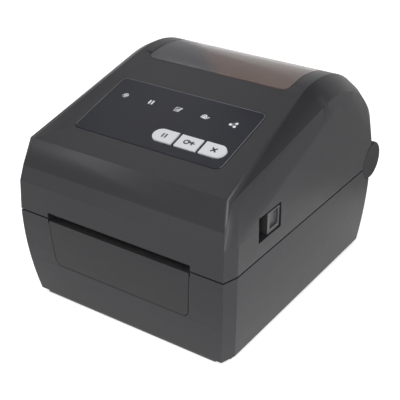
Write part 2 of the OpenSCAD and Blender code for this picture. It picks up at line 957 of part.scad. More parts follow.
// Free turning hub on the left holder's spindle
module roll_hub(mirrored) {
    low = 0.3 - holder_half;
    high = spindle_len - 0.7 - holder_half;
    mirror([mirrored, 0, 0])
        difference() {
            union() {
                rod_x(hub_flange_r, low, low + hub_flange_t, roll_y, roll_z);
                rod_x(hub_r, low, high, roll_y, roll_z);
            }
            rod_x(spindle_r + run_gap, low - cut, high + cut, roll_y, roll_z);
        }
}

module roll_hub_left() {
    color([0.3, 0.3, 0.32])
        roll_hub(0);
}

module roll_hub_right() {
    color([0.3, 0.3, 0.32])
        roll_hub(1);
}

module spacing_pinion() {
    color([0.9, 0.9, 0.86])
        translate([0, roll_y, rack_z])
            difference() {
                linear_extrude(rack_h)
                    polygon(gear_points(holder_teeth, 0));
                translate([0, 0, -cut])
                    cylinder(h = rack_h + 2 * cut, r = post_r + run_gap);
            }
}

module pinion_screw() {
    color([0.7, 0.7, 0.7])
        translate([0, roll_y, rack_z - 1.6]) {
            cylinder(h = 1.2, r = 4);
            cylinder(h = 6, r = screw_r);
        }
}

module main_board() {
    color([0.05, 0.3, 0.15])
        union() {
            block([-board_half_w, board_y - board_half_len, board_z],
                [board_half_w, board_y + board_half_len, board_top_z]);
            block([-52, board_y - 14, board_top_z], [-38, board_y, board_top_z + 1.4]);
            block([24, board_y - 10, board_top_z], [34, board_y, board_top_z + 2]);
            translate([-26, board_y - 8, board_top_z])
                cylinder(h = 9, r = 4);
        }
}

// Port on the main board with its mouth in the rear wall
module port(x, size, mouth, depth) {
    difference() {
        block([x - size.x / 2, port_face - size.y, board_top_z],
            [x + size.x / 2, port_face, board_top_z + size.z]);
        translate([x, port_face, board_top_z + size.z / 2])
            cube([mouth.x, 2 * depth, mouth.y], center = true);
    }
}

module usb_port() {
    color([0.7, 0.7, 0.72])
        port(usb_x, usb_size, [8.6, 7.8], 9);
}

module network_port() {
    color([0.7, 0.7, 0.72])
        port(network_x, network_size, [11.8, 7.6], 12);
}

module power_inlet() {
    color([0.08, 0.08, 0.08])
        port(power_x, power_size, [6.4, 6.4], 9);
}

module switch_housing() {
    bezel = 1;
    face = base_rear(switch_z + switch_h / 2 + bezel) + seat_gap;
    color([0.08, 0.08, 0.08])
        translate([switch_x, 0, switch_z])
            difference() {
                union() {
                    block([-switch_w / 2, face - 16, -switch_h / 2],
                        [switch_w / 2, face, switch_h / 2]);
                    block([-switch_w / 2 - bezel, face, -switch_h / 2 - bezel],
                        [switch_w / 2 + bezel, face + bezel, switch_h / 2 + bezel]);
                }
                block([-rocker_w / 2 - slide_gap, face - 10, -rocker_half - 1.3],
                    [rocker_w / 2 + slide_gap, face + 2, rocker_half + 1.3]);
                rod_x(1 + run_gap, -switch_w / 2 - cut, switch_w / 2 + cut, rocker_y, 0);
            }
}

module power_rocker() {
    color([0.12, 0.12, 0.12])
        translate([switch_x, rocker_y, switch_z])
            rotate([rocker_rest, 0, 0]) {
                along_x(rocker_w, -rocker_w / 2)
                    polygon([[-2, -rocker_half], [-2, rocker_half], [4, rocker_half],
                        [3, 0], [4, -rocker_half]]);
                rod_x(1, -switch_w / 2, switch_w / 2, 0, 0);
            }
}

module lid_shell() {
    color([0.26, 0.26, 0.27])
        difference() {
            union() {
                difference() {
                    lid_form();
                    lid_form(wall, waist_z - cut - wall);
                    block([-cap_in, hinge_y - 7, waist_z - cut], [cap_in, hinge_y + 20, lid_back_z]);
                }
                intersection() {
                    lid_form(land / 2);
                    union() {
                        both() {
                            pocket_tub();
                            lid_ear_web();
                        }
                        lid_bosses();
                        board_posts();
                    }
                }
                both()
                    rod_x(lid_ear_r, lid_ear_in, lid_ear_in + ear_w, hinge_y, hinge_z);
            }
            both() {
                rod_x(cap_r + slide_gap, cap_in - slide_gap, case_half + cut, hinge_y, hinge_z);
                rod_x(hinge_pin_r + run_gap, lid_ear_in - cut, cap_in, hinge_y, hinge_z);
                block([pocket_x, pocket_y, pocket_z],
                    [case_half + cut, pocket_y + pocket_len, pocket_z + pocket_h]);
                block([pocket_x - pocket_t - cut, shank_y - latch_travel - slide_gap, shank_z - slide_gap],
                    [pocket_x + cut, shank_y + shank_size + slide_gap, shank_z + shank_size + slide_gap]);
                for (y = boss_y) {
                    translate([boss_x, y, waist_z])
                        cylinder(h = lid_frame_z + 12 - waist_z, r = screw_r + seat_gap);
                }
            }
            block([-slot_w / 2, -front_reach - cut, waist_z - cut],
                [slot_w / 2, -front_reach + 6, waist_z + slot_rise]);
            window_column(-2.5);
            difference() {
                window_column(slide_gap);
                lid_form(window_t + seat_gap);
            }
            on_top() {
                translate([0, panel_s, -panel_t - seat_gap])
                    linear_extrude(10)
                        rounded_rect(panel_w + 2 * slide_gap, panel_len + 2 * slide_gap,
                            corner_r + slide_gap);
                for (i = [-2:2]) {
                    translate([light_x0 + i * light_pitch, light_s, -10])
                        cylinder(h = 20, r = light_r + slide_gap);
                }
                for (x = sides, y = sides) {
                    translate([x * post_x, board_s + y * post_s, board_top - cut])
                        cylinder(h = 5, r = small_screw_r + seat_gap);
                }
            }
            for (place = [-1:1]) {
                at_key(place)
                    translate([0, 0, -10])
                        linear_extrude(20)
                            key_shape(place, slide_gap);
            }
        }
}

// Tub behind the latch pocket
module pocket_tub() {
    block([pocket_x - pocket_t, pocket_y - pocket_t, pocket_z - pocket_t],
        [case_half, pocket_y + pocket_len + pocket_t, pocket_z + pocket_h + pocket_t]);
}

// Web that joins a hinge ear to the lid
module lid_ear_web() {
    along_x(ear_w, lid_ear_in)
        polygon([[hinge_y - lid_ear_r, hinge_z], [hinge_y + lid_ear_r - 1, hinge_z],
            [hinge_y + lid_ear_r - 1, hinge_z + 16], [hinge_y + 20, hinge_z + 22],
            [hinge_y + 20, hinge_z + 40], [hinge_y - 17, hinge_z + 50]]);
}

// Bosses that the lid's inner frame is screwed to
module lid_bosses() {
    both() {
        for (y = boss_y) {
            translate([boss_x, y, lid_frame_z + lid_frame_t])
                cylinder(h = crown_r, r = 4);
        }
    }
}

// Posts that the key board is screwed to
module board_posts() {
    on_top() {
        for (x = sides, y = sides) {
            translate([x * post_x, board_s + y * post_s, board_top])
                cylinder(h = 1 - wall - board_top, r = 3);
        }
    }
}

module roll_window() {
    color([0.35, 0.3, 0.28, 0.6])
        intersection() {
            window_column();
            difference() {
                lid_form();
                lid_form(window_t);
            }
        }
}

module control_panel() {
    color([0.08, 0.09, 0.14])
        difference() {
            on_top()
                translate([0, panel_s, -panel_t])
                    linear_extrude(panel_t)
                        rounded_rect(panel_w, panel_len, corner_r);
            on_top() {
                for (i = [-2:2]) {
                    translate([light_x0 + i * light_pitch, light_s, -10])
                        cylinder(h = 20, r = light_r + seat_gap);
                }
            }
            for (place = [-1:1]) {
                at_key(place)
                    translate([0, 0, -10])
                        linear_extrude(20)
                            key_shape(place, slide_gap);
            }
        }
}

// One key with the flange that holds it under the lid wall
module panel_key(place) {
    color([0.62, 0.63, 0.65])
        at_key(place) {
            translate([0, 0, -wall - key_flange_t])
                linear_extrude(wall + key_flange_t + key_rise)
                    key_shape(place);
            translate([0, 0, -wall - key_flange_t])
                linear_extrude(key_flange_t - seat_gap)
                    key_shape(place, key_flange);
        }
}

module pause_key() {
    panel_key(-1);
}

module feed_key() {
    panel_key(0);
}

module cancel_key() {
    panel_key(1);
}

module key_board() {
    color([0.05, 0.3, 0.15])
        on_top()
            difference() {
                translate([0, board_s, board_top - board_t / 2])
                    cube([board_w, board_len, board_t], center = true);
                for (x = sides, y = sides) {
                    translate([x * post_x, board_s + y * post_s, board_top - 5])
                        cylinder(h = 6, r = small_screw_r + 0.2);
                }
            }
}

module key_domes() {
    color([0.8, 0.8, 0.78])
        for (place = [-1:1]) {
            at_key(place)
                translate([0, 0, board_top])
                    cylinder(h = 1.3, r = 3);
        }
}

module status_lights() {
    color([0.95, 0.96, 0.98])
        on_top()
            for (i = [-2:2]) {
                translate([light_x0 + i * light_pitch, light_s, board_top])
                    cylinder(h = -board_top, r = light_r);
            }
}

// Latch in the right wall: finger pad, shank and hook
module latch() {
    union() {
        difference() {
            block([pocket_x + slide_gap, pad_y, pad_z], [pad_out, pad_y + pad_len, pad_z + pad_h]);
            block([pad_out - pad_dip, pad_y + 3, pad_z + 3],
                [pad_out + cut, pad_y + pad_len - 2, pad_z + pad_h - 1.2]);
        }
        block([hook_x, shank_y, shank_z], [pocket_x + 1, shank_y + shank_size, shank_z + shank_size]);
        block([hook_x, hook_y, hook_z], [hook_x + hook_t, hook_y + 6, shank_z + shank_size]);
        block([hook_x, hook_y, hook_z], [hook_x + hook_t, hook_y + hook_len, hook_z + 3.5]);
    }
}

module latch_right() {
    color([0.32, 0.32, 0.33])
        latch();
}

module latch_left() {
    color([0.32, 0.32, 0.33])
        mirror([1, 0, 0])
            latch();
}

module lid_frame() {
    skirt_y = head_front - 0.9;
    color([0.16, 0.16, 0.17])
        difference() {
            union() {
                block([-lid_frame_half, skirt_y - 1.7, lid_frame_z],
                    [lid_frame_half, boss_y[1] + 6, lid_frame_z + lid_frame_t]);
                block([-bar_half, skirt_y - 1.7, waist_z + slot_rise + 0.5],
                    [bar_half, skirt_y, lid_frame_z]);
                both() {
                    rod_x(4, head_half + 1, head_half + 4, pivot_y, pivot_z);
                    block([head_half + 1, pivot_y - 4, pivot_z], [head_half + 4, pivot_y + 4, lid_frame_z]);
                }
            }
            rod_x(pivot_r + 0.02, -head_half - 5, head_half + 5, pivot_y, pivot_z);
            both() {
                for (y = boss_y) {
                    translate([boss_x, y, lid_frame_z - cut])
                        cylinder(h = lid_frame_t + 2 * cut, r = screw_r + 0.25);
                }
            }
        }
}

module lid_screws() {
    color([0.7, 0.7, 0.7]) {
        both() {
            for (y = boss_y) {
                translate([boss_x, y, lid_frame_z - 1.5]) {
                    cylinder(h = 1.5, r = screw_head_r);
                    cylinder(h = 11, r = screw_r);
                }
            }
        }
        on_top() {
            for (x = sides, y = sides) {
                translate([x * post_x, board_s + y * post_s, board_top - board_t - 1]) {
                    cylinder(h = 1, r = 2);
                    cylinder(h = 1 + board_t + 3, r = small_screw_r);
                }
            }
        }
    }
}

module tear_bar() {
    low = waist_z + slot_rise - 0.9;
    count = floor(bar_half - 0.5);
    y = head_front - 0.9 - 1.7;
    color([0.7, 0.71, 0.73])
        translate([0, y, 0])
            rotate([90, 0, 0])
                linear_extrude(0.8)
                    polygon(concat(
                        [[-bar_half, low + 10], [-bar_half, low + 0.8]],
                        [for (i = [-count:count])
                            each [[i - 0.3, low + 0.8], [i, low], [i + 0.3, low + 0.8]]],
                        [[bar_half, low + 0.8], [bar_half, low + 10]]));
}

module head_pivot() {
    color([0.75, 0.75, 0.77])
        rod_x(pivot_r, -head_half - 4.5, head_half + 4.5, pivot_y, pivot_z);
}

module head_bracket() {
    color([0.6, 0.62, 0.64])
        difference() {
            union() {
                block([-head_half, head_front, bracket_z], [head_half, pivot_y + 2, bracket_z + bracket_t]);
                both() {
                    rod_x(3.5, head_half - bracket_t, head_half, pivot_y, pivot_z);
                    block([head_half - bracket_t, pivot_y - 3.5, bracket_z],
                        [head_half, pivot_y + 2, pivot_z]);
                }
            }
            rod_x(pivot_r + run_gap, -head_half - cut, head_half + cut, pivot_y, pivot_z);
        }
}

module head_heatsink() {
    fins = 14;
    gap = 2 * head_half / fins;
    color([0.72, 0.73, 0.75])
        difference() {
            block([-head_half, head_front, head_z + ceramic_t], [head_half, head_back, bracket_z]);
            for (i = [1:fins - 1]) {
                translate([i * gap - head_half, head_back, head_z + ceramic_t + 3 + sink_h / 2])
                    cube([gap / 2, 12, sink_h], center = true);
            }
        }
}

module head_ceramic() {
    color([0.85, 0.84, 0.78])
        block([-head_half, head_front, head_z], [head_half, head_front + 13, head_z + ceramic_t]);
}

module head_springs() {
    color([0.7, 0.7, 0.72])
        for (x = sides) {
            translate([x * spring_x, spring_y, bracket_z + bracket_t])
                difference() {
                    cylinder(h = lid_frame_z - bracket_z - bracket_t, r = 4);
                    translate([0, 0, -cut])
                        cylinder(h = lid_frame_z, r = 3);
                }
        }
}

module gap_sensor() {
    color([0.2, 0.3, 0.25])
        block([-5, rail_y - 1, lid_frame_z - 4], [5, rail_y + 5, lid_frame_z]);
}

base_shell();
bottom_plate();
rubber_feet();
base_screws();
front_insert();
media_tray();
frame_plate_left();
frame_plate_right();
platen_bushings();
platen_shaft();
platen_rubber();
platen_gear();
idler_stud();
idler_gear();
stepper_motor();
motor_pinion();
sensor_rail();
mark_sensor();
latch_keepers();
hinge_pins();
hinge_caps();
roll_holder_left();
roll_holder_right();
roll_hub_left();
roll_hub_right();
spacing_pinion();
pinion_screw();
main_board();
usb_port();
network_port();
power_inlet();
switch_housing();
power_rocker();
lid_shell();
roll_window();
control_panel();
pause_key();
feed_key();
cancel_key();
key_board();
key_domes();
status_lights();
latch_left();
latch_right();
lid_frame();
lid_screws();
tear_bar();
head_pivot();
head_bracket();
head_heatsink();
head_ceramic();
head_springs();
gap_sensor();
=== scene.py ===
import math

import bmesh
import bpy
from mathutils import Matrix, Vector


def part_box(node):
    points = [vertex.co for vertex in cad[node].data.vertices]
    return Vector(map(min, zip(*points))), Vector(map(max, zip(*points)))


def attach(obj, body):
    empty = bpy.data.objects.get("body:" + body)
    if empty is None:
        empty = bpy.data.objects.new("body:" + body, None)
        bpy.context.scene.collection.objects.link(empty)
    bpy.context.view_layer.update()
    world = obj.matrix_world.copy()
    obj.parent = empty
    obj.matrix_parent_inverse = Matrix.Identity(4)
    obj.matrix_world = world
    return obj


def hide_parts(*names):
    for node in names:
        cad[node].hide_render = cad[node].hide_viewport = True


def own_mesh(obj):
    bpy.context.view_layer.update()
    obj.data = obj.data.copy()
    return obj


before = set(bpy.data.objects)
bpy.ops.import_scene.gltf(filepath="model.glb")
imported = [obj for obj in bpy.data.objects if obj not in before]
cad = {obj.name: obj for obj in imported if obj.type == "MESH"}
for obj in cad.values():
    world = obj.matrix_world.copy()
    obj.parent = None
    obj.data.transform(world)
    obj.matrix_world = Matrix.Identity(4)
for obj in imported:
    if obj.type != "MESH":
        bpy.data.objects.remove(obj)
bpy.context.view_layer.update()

mm = 0.001

# camera
view = {
    "place": (348.6, -521.4, 401.45),   # mm
    "turn": 34.33,
    "height": 28.79,
    "roll": -0.07,
    "lens": 83.74,
    "sensor": 36.0,
    "clip": (0.01, 50),   # m
}


def makeCamera():
    turn, height = math.radians(view["turn"]), math.radians(view["height"])
    back = Vector((math.sin(turn) * math.cos(height), -math.cos(turn) * math.cos(height), math.sin(height)))
    right = Vector((math.cos(turn), math.sin(turn), 0))
    up = back.cross(right)
    data = bpy.data.cameras.new("camera")
    data.lens, data.sensor_width = view["lens"], view["sensor"]
    data.clip_start, data.clip_end = view["clip"]
    camera = bpy.data.objects.new("camera", data)
    bpy.context.scene.collection.objects.link(camera)
    axes = Matrix((right, up, back)).transposed().to_4x4()
    camera.matrix_world = (Matrix.Translation(Vector(view["place"]) * mm) @ axes
                           @ Matrix.Rotation(math.radians(view["roll"]), 4, "Z"))
    bpy.context.scene.camera = camera


makeCamera()
print("camera ready")


# node helpers
def put(tree, kind, inputs=None, **settings):
    item = tree.nodes.new(kind)
    for key, value in settings.items():
        setattr(item, key, value)
    for key, value in (inputs or {}).items():
        if isinstance(value, bpy.types.NodeSocket):
            tree.links.new(value, item.inputs[key])
        else:
            item.inputs[key].default_value = value
    return item


def built(tree, kind, inputs, **settings):
    return put(tree, kind, inputs, **settings).outputs[0]


def newGroup(name, kind, inputs, outputs):
    group = bpy.data.node_groups.new(name, kind)
    for label, socketType, value in inputs:
        socket = group.interface.new_socket(label, in_out="INPUT", socket_type=socketType)
        if value is not None:
            socket.default_value = value
    for label, socketType in outputs:
        group.interface.new_socket(label, in_out="OUTPUT", socket_type=socketType)
    return group, group.nodes.new("NodeGroupInput").outputs, group.nodes.new("NodeGroupOutput").inputs


def ramp(tree, value, low, high, outLow, outHigh):
    return built(tree, "ShaderNodeMapRange", {"Value": value, "From Min": low, "From Max": high,
                                              "To Min": outLow, "To Max": outHigh})


def maths(tree, operation, *values):
    return built(tree, "ShaderNodeMath", dict(enumerate(values)), operation=operation)


def noise(tree, place, scale, detail=2.0, **more):
    values = {"Vector": place, "Scale": scale, "Detail": detail, **more}
    return put(tree, "ShaderNodeTexNoise", values).outputs["Fac"]


def shade(tree, colour, factor):
    mixed = put(tree, "ShaderNodeMix", {"Factor": 1.0, 6: colour}, data_type="RGBA", blend_type="MULTIPLY")
    grey = put(tree, "ShaderNodeCombineColor", {"Red": factor, "Green": factor, "Blue": factor})
    tree.links.new(grey.outputs["Color"], mixed.inputs[7])
    return mixed.outputs[2]


# shared effects
def makeGrain():
    group, given, made = newGroup(
        "mouldGrain", "ShaderNodeTree",
        [("Vector", "NodeSocketVector", None), ("Colour", "NodeSocketColor", (0.05, 0.05, 0.05, 1)),
         ("Grain Size", "NodeSocketFloat", 0.5), ("Mottle", "NodeSocketFloat", 0.08),
         ("Roughness", "NodeSocketFloat", 0.5), ("Rub", "NodeSocketFloat", 0.06)],
        [("Colour", "NodeSocketColor"), ("Roughness", "NodeSocketFloat"), ("Height", "NodeSocketFloat")])
    density = maths(group, "DIVIDE", 1000.0, given["Grain Size"])
    fine = noise(group, given["Vector"], density, 3.0, Roughness=0.6)
    broad = noise(group, given["Vector"], 16.0, 4.0)
    rubs = noise(group, given["Vector"], 90.0, 5.0, Roughness=0.7, Distortion=0.6)
    speck, patch, rub = (maths(group, "ADD", value, -0.5) for value in (fine, broad, rubs))
    both = maths(group, "MULTIPLY_ADD", speck, 0.6, patch)
    factor = maths(group, "MULTIPLY_ADD", both, given["Mottle"], 1.0)
    group.links.new(shade(group, given["Colour"], factor), made["Colour"])
    group.links.new(maths(group, "MULTIPLY_ADD", rub, given["Rub"], given["Roughness"]), made["Roughness"])
    group.links.new(fine, made["Height"])
    return group


def makeBrush():
    group, given, made = newGroup(
        "drawnMetal", "ShaderNodeTree",
        [("Vector", "NodeSocketVector", None), ("Colour", "NodeSocketColor", (0.6, 0.6, 0.62, 1)),
         ("Across", "NodeSocketFloat", 2600.0), ("Along", "NodeSocketFloat", 40.0),
         ("Roughness", "NodeSocketFloat", 0.3), ("Spread", "NodeSocketFloat", 0.15)],
        [("Colour", "NodeSocketColor"), ("Roughness", "NodeSocketFloat"), ("Height", "NodeSocketFloat")])
    along, across = given["Along"], given["Across"]
    stretch = built(group, "ShaderNodeCombineXYZ", {"X": along, "Y": across, "Z": across})
    scaled = built(group, "ShaderNodeVectorMath", {0: given["Vector"], 1: stretch}, operation="MULTIPLY")
    lines = noise(group, scaled, 1.0, 4.0)
    stain = noise(group, given["Vector"], 60.0, 3.0)
    group.links.new(shade(group, given["Colour"], ramp(group, stain, 0.3, 0.7, 0.86, 1.06)), made["Colour"])
    swing = maths(group, "ADD", lines, -0.5)
    rough = maths(group, "MULTIPLY_ADD", swing, given["Spread"], given["Roughness"])
    group.links.new(rough, made["Roughness"])
    group.links.new(lines, made["Height"])
    return group


mouldGrain = makeGrain()
drawnMetal = makeBrush()


def newMaterial(name):
    material = bpy.data.materials.new(name)
    material.use_nodes = True
    tree = material.node_tree
    surface = tree.nodes["Principled BSDF"]
    place = put(tree, "ShaderNodeTexCoord").outputs["Object"]
    return material, tree, surface, place


def link(tree, group, surface, bumpDepth, bumpSize):
    tree.links.new(group.outputs["Colour"], surface.inputs["Base Color"])
    tree.links.new(group.outputs["Roughness"], surface.inputs["Roughness"])
    bump = built(tree, "ShaderNodeBump", {"Height": group.outputs["Height"], "Strength": bumpDepth,
                                          "Distance": bumpSize})
    tree.links.new(bump, surface.inputs["Normal"])


def plastic(name, colour, rough=0.5, grain=0.45, depth=0.35, mottle=0.1, rub=0.08, **extra):
    material, tree, surface, place = newMaterial(name)
    group = put(tree, "ShaderNodeGroup", {}, node_tree=mouldGrain)
    values = {"Colour": (*colour, 1), "Grain Size": grain, "Mottle": mottle, "Roughness": rough, "Rub": rub}
    for key, value in values.items():
        group.inputs[key].default_value = value
    tree.links.new(place, group.inputs["Vector"])
    link(tree, group, surface, depth, 0.0001)
    for key, value in extra.items():
        surface.inputs[key.replace("_", " ")].default_value = value
    return material


def metal(name, colour, rough=0.3, across=2600.0, along=40.0, depth=0.2):
    material, tree, surface, place = newMaterial(name)
    group = put(tree, "ShaderNodeGroup", {}, node_tree=drawnMetal)
    values = {"Colour": (*colour, 1), "Across": across, "Along": along, "Roughness": rough}
    for key, value in values.items():
        group.inputs[key].default_value = value
    tree.links.new(place, group.inputs["Vector"])
    link(tree, group, surface, depth, 0.00005)
    surface.inputs["Metallic"].default_value = 1.0
    return material


# the window's smoke tint, with painted shade and painted light for what is seen through it
smokeAndPaintedLight = {
    "paintedShadeInside": (0.070, 0.068, 0.076), "paintedLightInside": (0.118, 0.084, 0.076), "paintedPaleLightInside": (0.148, 0.108, 0.098),
    "lean": 1.1, "from": 3, "to": 17,   # mm across, where the painted shade inside turns to painted light
    "ior": 1.45,
}


def smokedSheet():
    material, tree, surface, place = newMaterial("smokedWindow")
    haze = noise(tree, place, 30.0, 4.0)
    # painted shade and painted light: the colour turns from dark at the left and front to warm at the right and
    # rear across a slanted line; the haze varies it at random
    paintedLightInside = put(tree, "ShaderNodeMix", {0: haze, 6: (*smokeAndPaintedLight["paintedLightInside"], 1), 7: (*smokeAndPaintedLight["paintedPaleLightInside"], 1)},
               data_type="RGBA")
    across = put(tree, "ShaderNodeSeparateXYZ", {"Vector": place}).outputs
    edge = maths(tree, "MULTIPLY_ADD", across["Y"], smokeAndPaintedLight["lean"], across["X"])
    base = put(tree, "ShaderNodeMix", {6: (*smokeAndPaintedLight["paintedShadeInside"], 1), 7: paintedLightInside.outputs[2]}, data_type="RGBA")
    tree.links.new(ramp(tree, edge, smokeAndPaintedLight["from"] * mm, smokeAndPaintedLight["to"] * mm, 0, 1), base.inputs["Factor"])
    tree.links.new(base.outputs[2], surface.inputs["Base Color"])
    tree.links.new(ramp(tree, haze, 0.2, 0.8, 0.62, 0.7), surface.inputs["Alpha"])
    tree.links.new(ramp(tree, noise(tree, place, 700.0), 0.2, 0.8, 0.10, 0.16), surface.inputs["Roughness"])
    surface.inputs["IOR"].default_value = smokeAndPaintedLight["ior"]
    return material


def boardMaterial():
    material, tree, surface, place = newMaterial("circuitBoard")
    tracks = put(tree, "ShaderNodeTexBrick", {
        "Vector": place, "Scale": 120.0, "Mortar Size": 0.03, "Color1": (0.012, 0.09, 0.045, 1),
        "Color2": (0.016, 0.11, 0.055, 1), "Mortar": (0.03, 0.17, 0.09, 1)})
    speck = noise(tree, place, 300.0, 3.0)
    toned = shade(tree, tracks.outputs["Color"], ramp(tree, speck, 0.3, 0.7, 0.85, 1.1))
    tree.links.new(toned, surface.inputs["Base Color"])
    tree.links.new(ramp(tree, speck, 0.3, 0.7, 0.28, 0.4), surface.inputs["Roughness"])
    bump = built(tree, "ShaderNodeBump", {"Height": tracks.outputs["Fac"], "Strength": 0.3,
                                          "Distance": 0.00005})
    tree.links.new(bump, surface.inputs["Normal"])
    return material


finish = {
    # painted shade: the lid's black is set a little darker than the base's, for the lid's sides taking less
    # light than the base's
    "lidBlack": plastic("lidBlack", (0.0142, 0.0138, 0.0158), 0.37, Specular_IOR_Level=0.24),
    "baseBlack": plastic("baseBlack", (0.0152, 0.0149, 0.0170), 0.42, Specular_IOR_Level=0.22),
    "insertBlack": plastic("insertBlack", (0.0135, 0.0133, 0.0148), 0.44, 0.4, Specular_IOR_Level=0.22),
    "capBlack": plastic("capBlack", (0.0160, 0.0156, 0.0174), 0.5, Specular_IOR_Level=0.16),
    "plateBlack": plastic("plateBlack", (0.045, 0.045, 0.047), 0.55, 0.6),
    "innerBlack": plastic("innerBlack", (0.018, 0.018, 0.019), 0.5, 0.6),
    "holderBlack": plastic("holderBlack", (0.03, 0.03, 0.032), 0.45, 0.6),
    "hubGrey": plastic("hubGrey", (0.07, 0.07, 0.075), 0.45, 0.6),
    "latchBlack": plastic("latchBlack", (0.034, 0.034, 0.036), 0.42, 0.4),
    # painted shade: near black for the sheets put where deep shade falls
    "paintedShadeBlack": plastic("paintedShadeBlack", (0.008, 0.008, 0.008), 0.7, 0.6),
    "footRubber": plastic("footRubber", (0.012, 0.012, 0.012), 0.8, 0.8, 0.6),
    "rollerRubber": plastic("rollerRubber", (0.01, 0.01, 0.011), 0.6, 0.25, 0.5),
    "keyGrey": plastic("keyGrey", (0.41, 0.42, 0.44), 0.42, 0.3, 0.12, 0.03),
    "printWhite": plastic("printWhite", (0.50, 0.51, 0.53), 0.4, 0.3, 0.05, 0.02),
    # painted highlight for the control panel's edge
    "paintedHighlightGrey": plastic("paintedHighlightGrey", (0.11, 0.115, 0.125), 0.35, 0.6, 0.05, 0.1),
    "printDark": plastic("printDark", (0.012, 0.012, 0.014), 0.5, 0.3, 0.05, 0.02),
    "panelGloss": plastic("panelGloss", (0.0050, 0.0055, 0.0105), 0.2, 1.5, 0.02, 0.2, 0.03,
                          Specular_IOR_Level=0.15),
    "lightGuide": plastic("lightGuide", (0.016, 0.017, 0.025), 0.2, 1.0, 0.02, 0.1),
    "gearWhite": plastic("gearWhite", (0.72, 0.70, 0.64), 0.38, 0.5, 0.15, 0.05),
    "portBlack": plastic("portBlack", (0.012, 0.012, 0.012), 0.45, 0.5),
    "ceramicCream": plastic("ceramicCream", (0.68, 0.66, 0.58), 0.22, 0.8, 0.1, 0.06),
    "chipBlack": plastic("chipBlack", (0.015, 0.015, 0.016), 0.4, 0.3),
    "sensorGreen": plastic("sensorGreen", (0.02, 0.05, 0.03), 0.4, 0.5),
    "screwSteel": metal("screwSteel", (0.62, 0.61, 0.58), 0.32, 900, 900),
    "plateSteel": metal("plateSteel", (0.55, 0.56, 0.57), 0.38),
    "shaftSteel": metal("shaftSteel", (0.66, 0.66, 0.68), 0.22, 60, 3000),
    "motorSteel": metal("motorSteel", (0.55, 0.56, 0.57), 0.34, 800, 800),
    "portSteel": metal("portSteel", (0.62, 0.62, 0.63), 0.3),
    "pinionBrass": metal("pinionBrass", (0.72, 0.52, 0.22), 0.3, 600, 600),
    "headAluminium": metal("headAluminium", (0.70, 0.71, 0.72), 0.36, 2200, 30),
    "springSteel": metal("springSteel", (0.58, 0.58, 0.60), 0.28, 900, 900),
    "contactGold": metal("contactGold", (0.80, 0.60, 0.28), 0.28, 800, 800),
    "smokedWindow": smokedSheet(),
    "circuitBoard": boardMaterial(),
}
print("materials ready")


# mesh helpers
weld = {"copy": 2e-6, "cut": 1e-6, "copyFlat": 0.3, "hullFlat": 0.2}   # m and degrees


def newPiece(name, bm, material, body, angle=30, replaced=(), even=True):
    mesh = bpy.data.meshes.new(name)
    bm.to_mesh(mesh)
    bm.free()
    piece = bpy.data.objects.new(name, mesh)
    bpy.context.scene.collection.objects.link(piece)
    mesh.materials.clear()
    mesh.materials.append(finish[material])
    mesh.shade_smooth()
    mesh.set_sharp_from_angle(angle=math.radians(angle))
    if even:
        piece.modifiers.new("evenShading", "WEIGHTED_NORMAL").keep_sharp = True
    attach(piece, body)
    if replaced:
        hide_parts(*replaced)
    return piece


def mergedCopy(node):
    bm = bmesh.new()
    bm.from_mesh(cad[node].data)
    bmesh.ops.remove_doubles(bm, verts=bm.verts, dist=weld["copy"])
    bmesh.ops.dissolve_limit(bm, angle_limit=math.radians(weld["copyFlat"]), verts=bm.verts, edges=bm.edges)
    return bm


def roundEdges(bm, chosen, width, segments=3):
    edges = [edge for edge in bm.edges if edge.is_manifold and chosen(edge)]
    bmesh.ops.bevel(bm, geom=edges, offset=width * mm, offset_type="OFFSET", segments=segments, profile=0.5,
                    affect="EDGES", clamp_overlap=True)


def turned(edge):
    return math.degrees(edge.calc_face_angle(0))


def lowest(edge):
    return min(vert.co.z for vert in edge.verts) / mm


def hullOf(points):
    bm = bmesh.new()
    for point in points:
        bm.verts.new(Vector(point) * mm)
    made = bmesh.ops.convex_hull(bm, input=bm.verts)
    spare = {item for key in ("geom_interior", "geom_unused") for item in made[key]
             if isinstance(item, bmesh.types.BMVert)}
    bmesh.ops.delete(bm, geom=list(spare), context="VERTS")
    bmesh.ops.dissolve_limit(bm, angle_limit=math.radians(weld["hullFlat"]), verts=bm.verts, edges=bm.edges)
    return bm


def asObject(name, bm):
    mesh = bpy.data.meshes.new(name)
    bm.to_mesh(mesh)
    bm.free()
    item = bpy.data.objects.new(name, mesh)
    bpy.context.scene.collection.objects.link(item)
    return item


def cutWith(bm, steps):
    body = asObject("body", bm)
    helpers = []
    for operation, other in steps:
        helper = asObject("helper", other)
        helpers.append(helper)
        change = body.modifiers.new("cut", "BOOLEAN")
        change.operation, change.object, change.solver = operation, helper, "EXACT"
    bpy.context.view_layer.update()
    mesh = bpy.data.meshes.new_from_object(body.evaluated_get(bpy.context.evaluated_depsgraph_get()))
    result = bmesh.new()
    result.from_mesh(mesh)
    for item in [body] + helpers:
        bpy.data.objects.remove(item)
    bmesh.ops.remove_doubles(result, verts=result.verts, dist=weld["cut"])
    return result


def upright(x, y, z):
    return Vector((x, y, z)) * mm


def wallBetween(bm, first, second):
    for i in range(len(first)):
        j = (i + 1) % len(first)
        bm.faces.new([first[i], first[j], second[j], second[i]])


def addPrism(bm, points, low, high, place=upright):
    bottom, top = ([bm.verts.new(place(x, y, level)) for x, y in points] for level in (low, high))
    bm.faces.new(bottom[::-1])
    bm.faces.new(top)
    wallBetween(bm, bottom, top)


def prism(points, low, high):
    bm = bmesh.new()
    addPrism(bm, points, low, high)
    bmesh.ops.recalc_face_normals(bm, faces=bm.faces)
    return bm


def plate(x, y, z):
    return prism([(x[0], y[0]), (x[1], y[0]), (x[1], y[1]), (x[0], y[1])], *z)


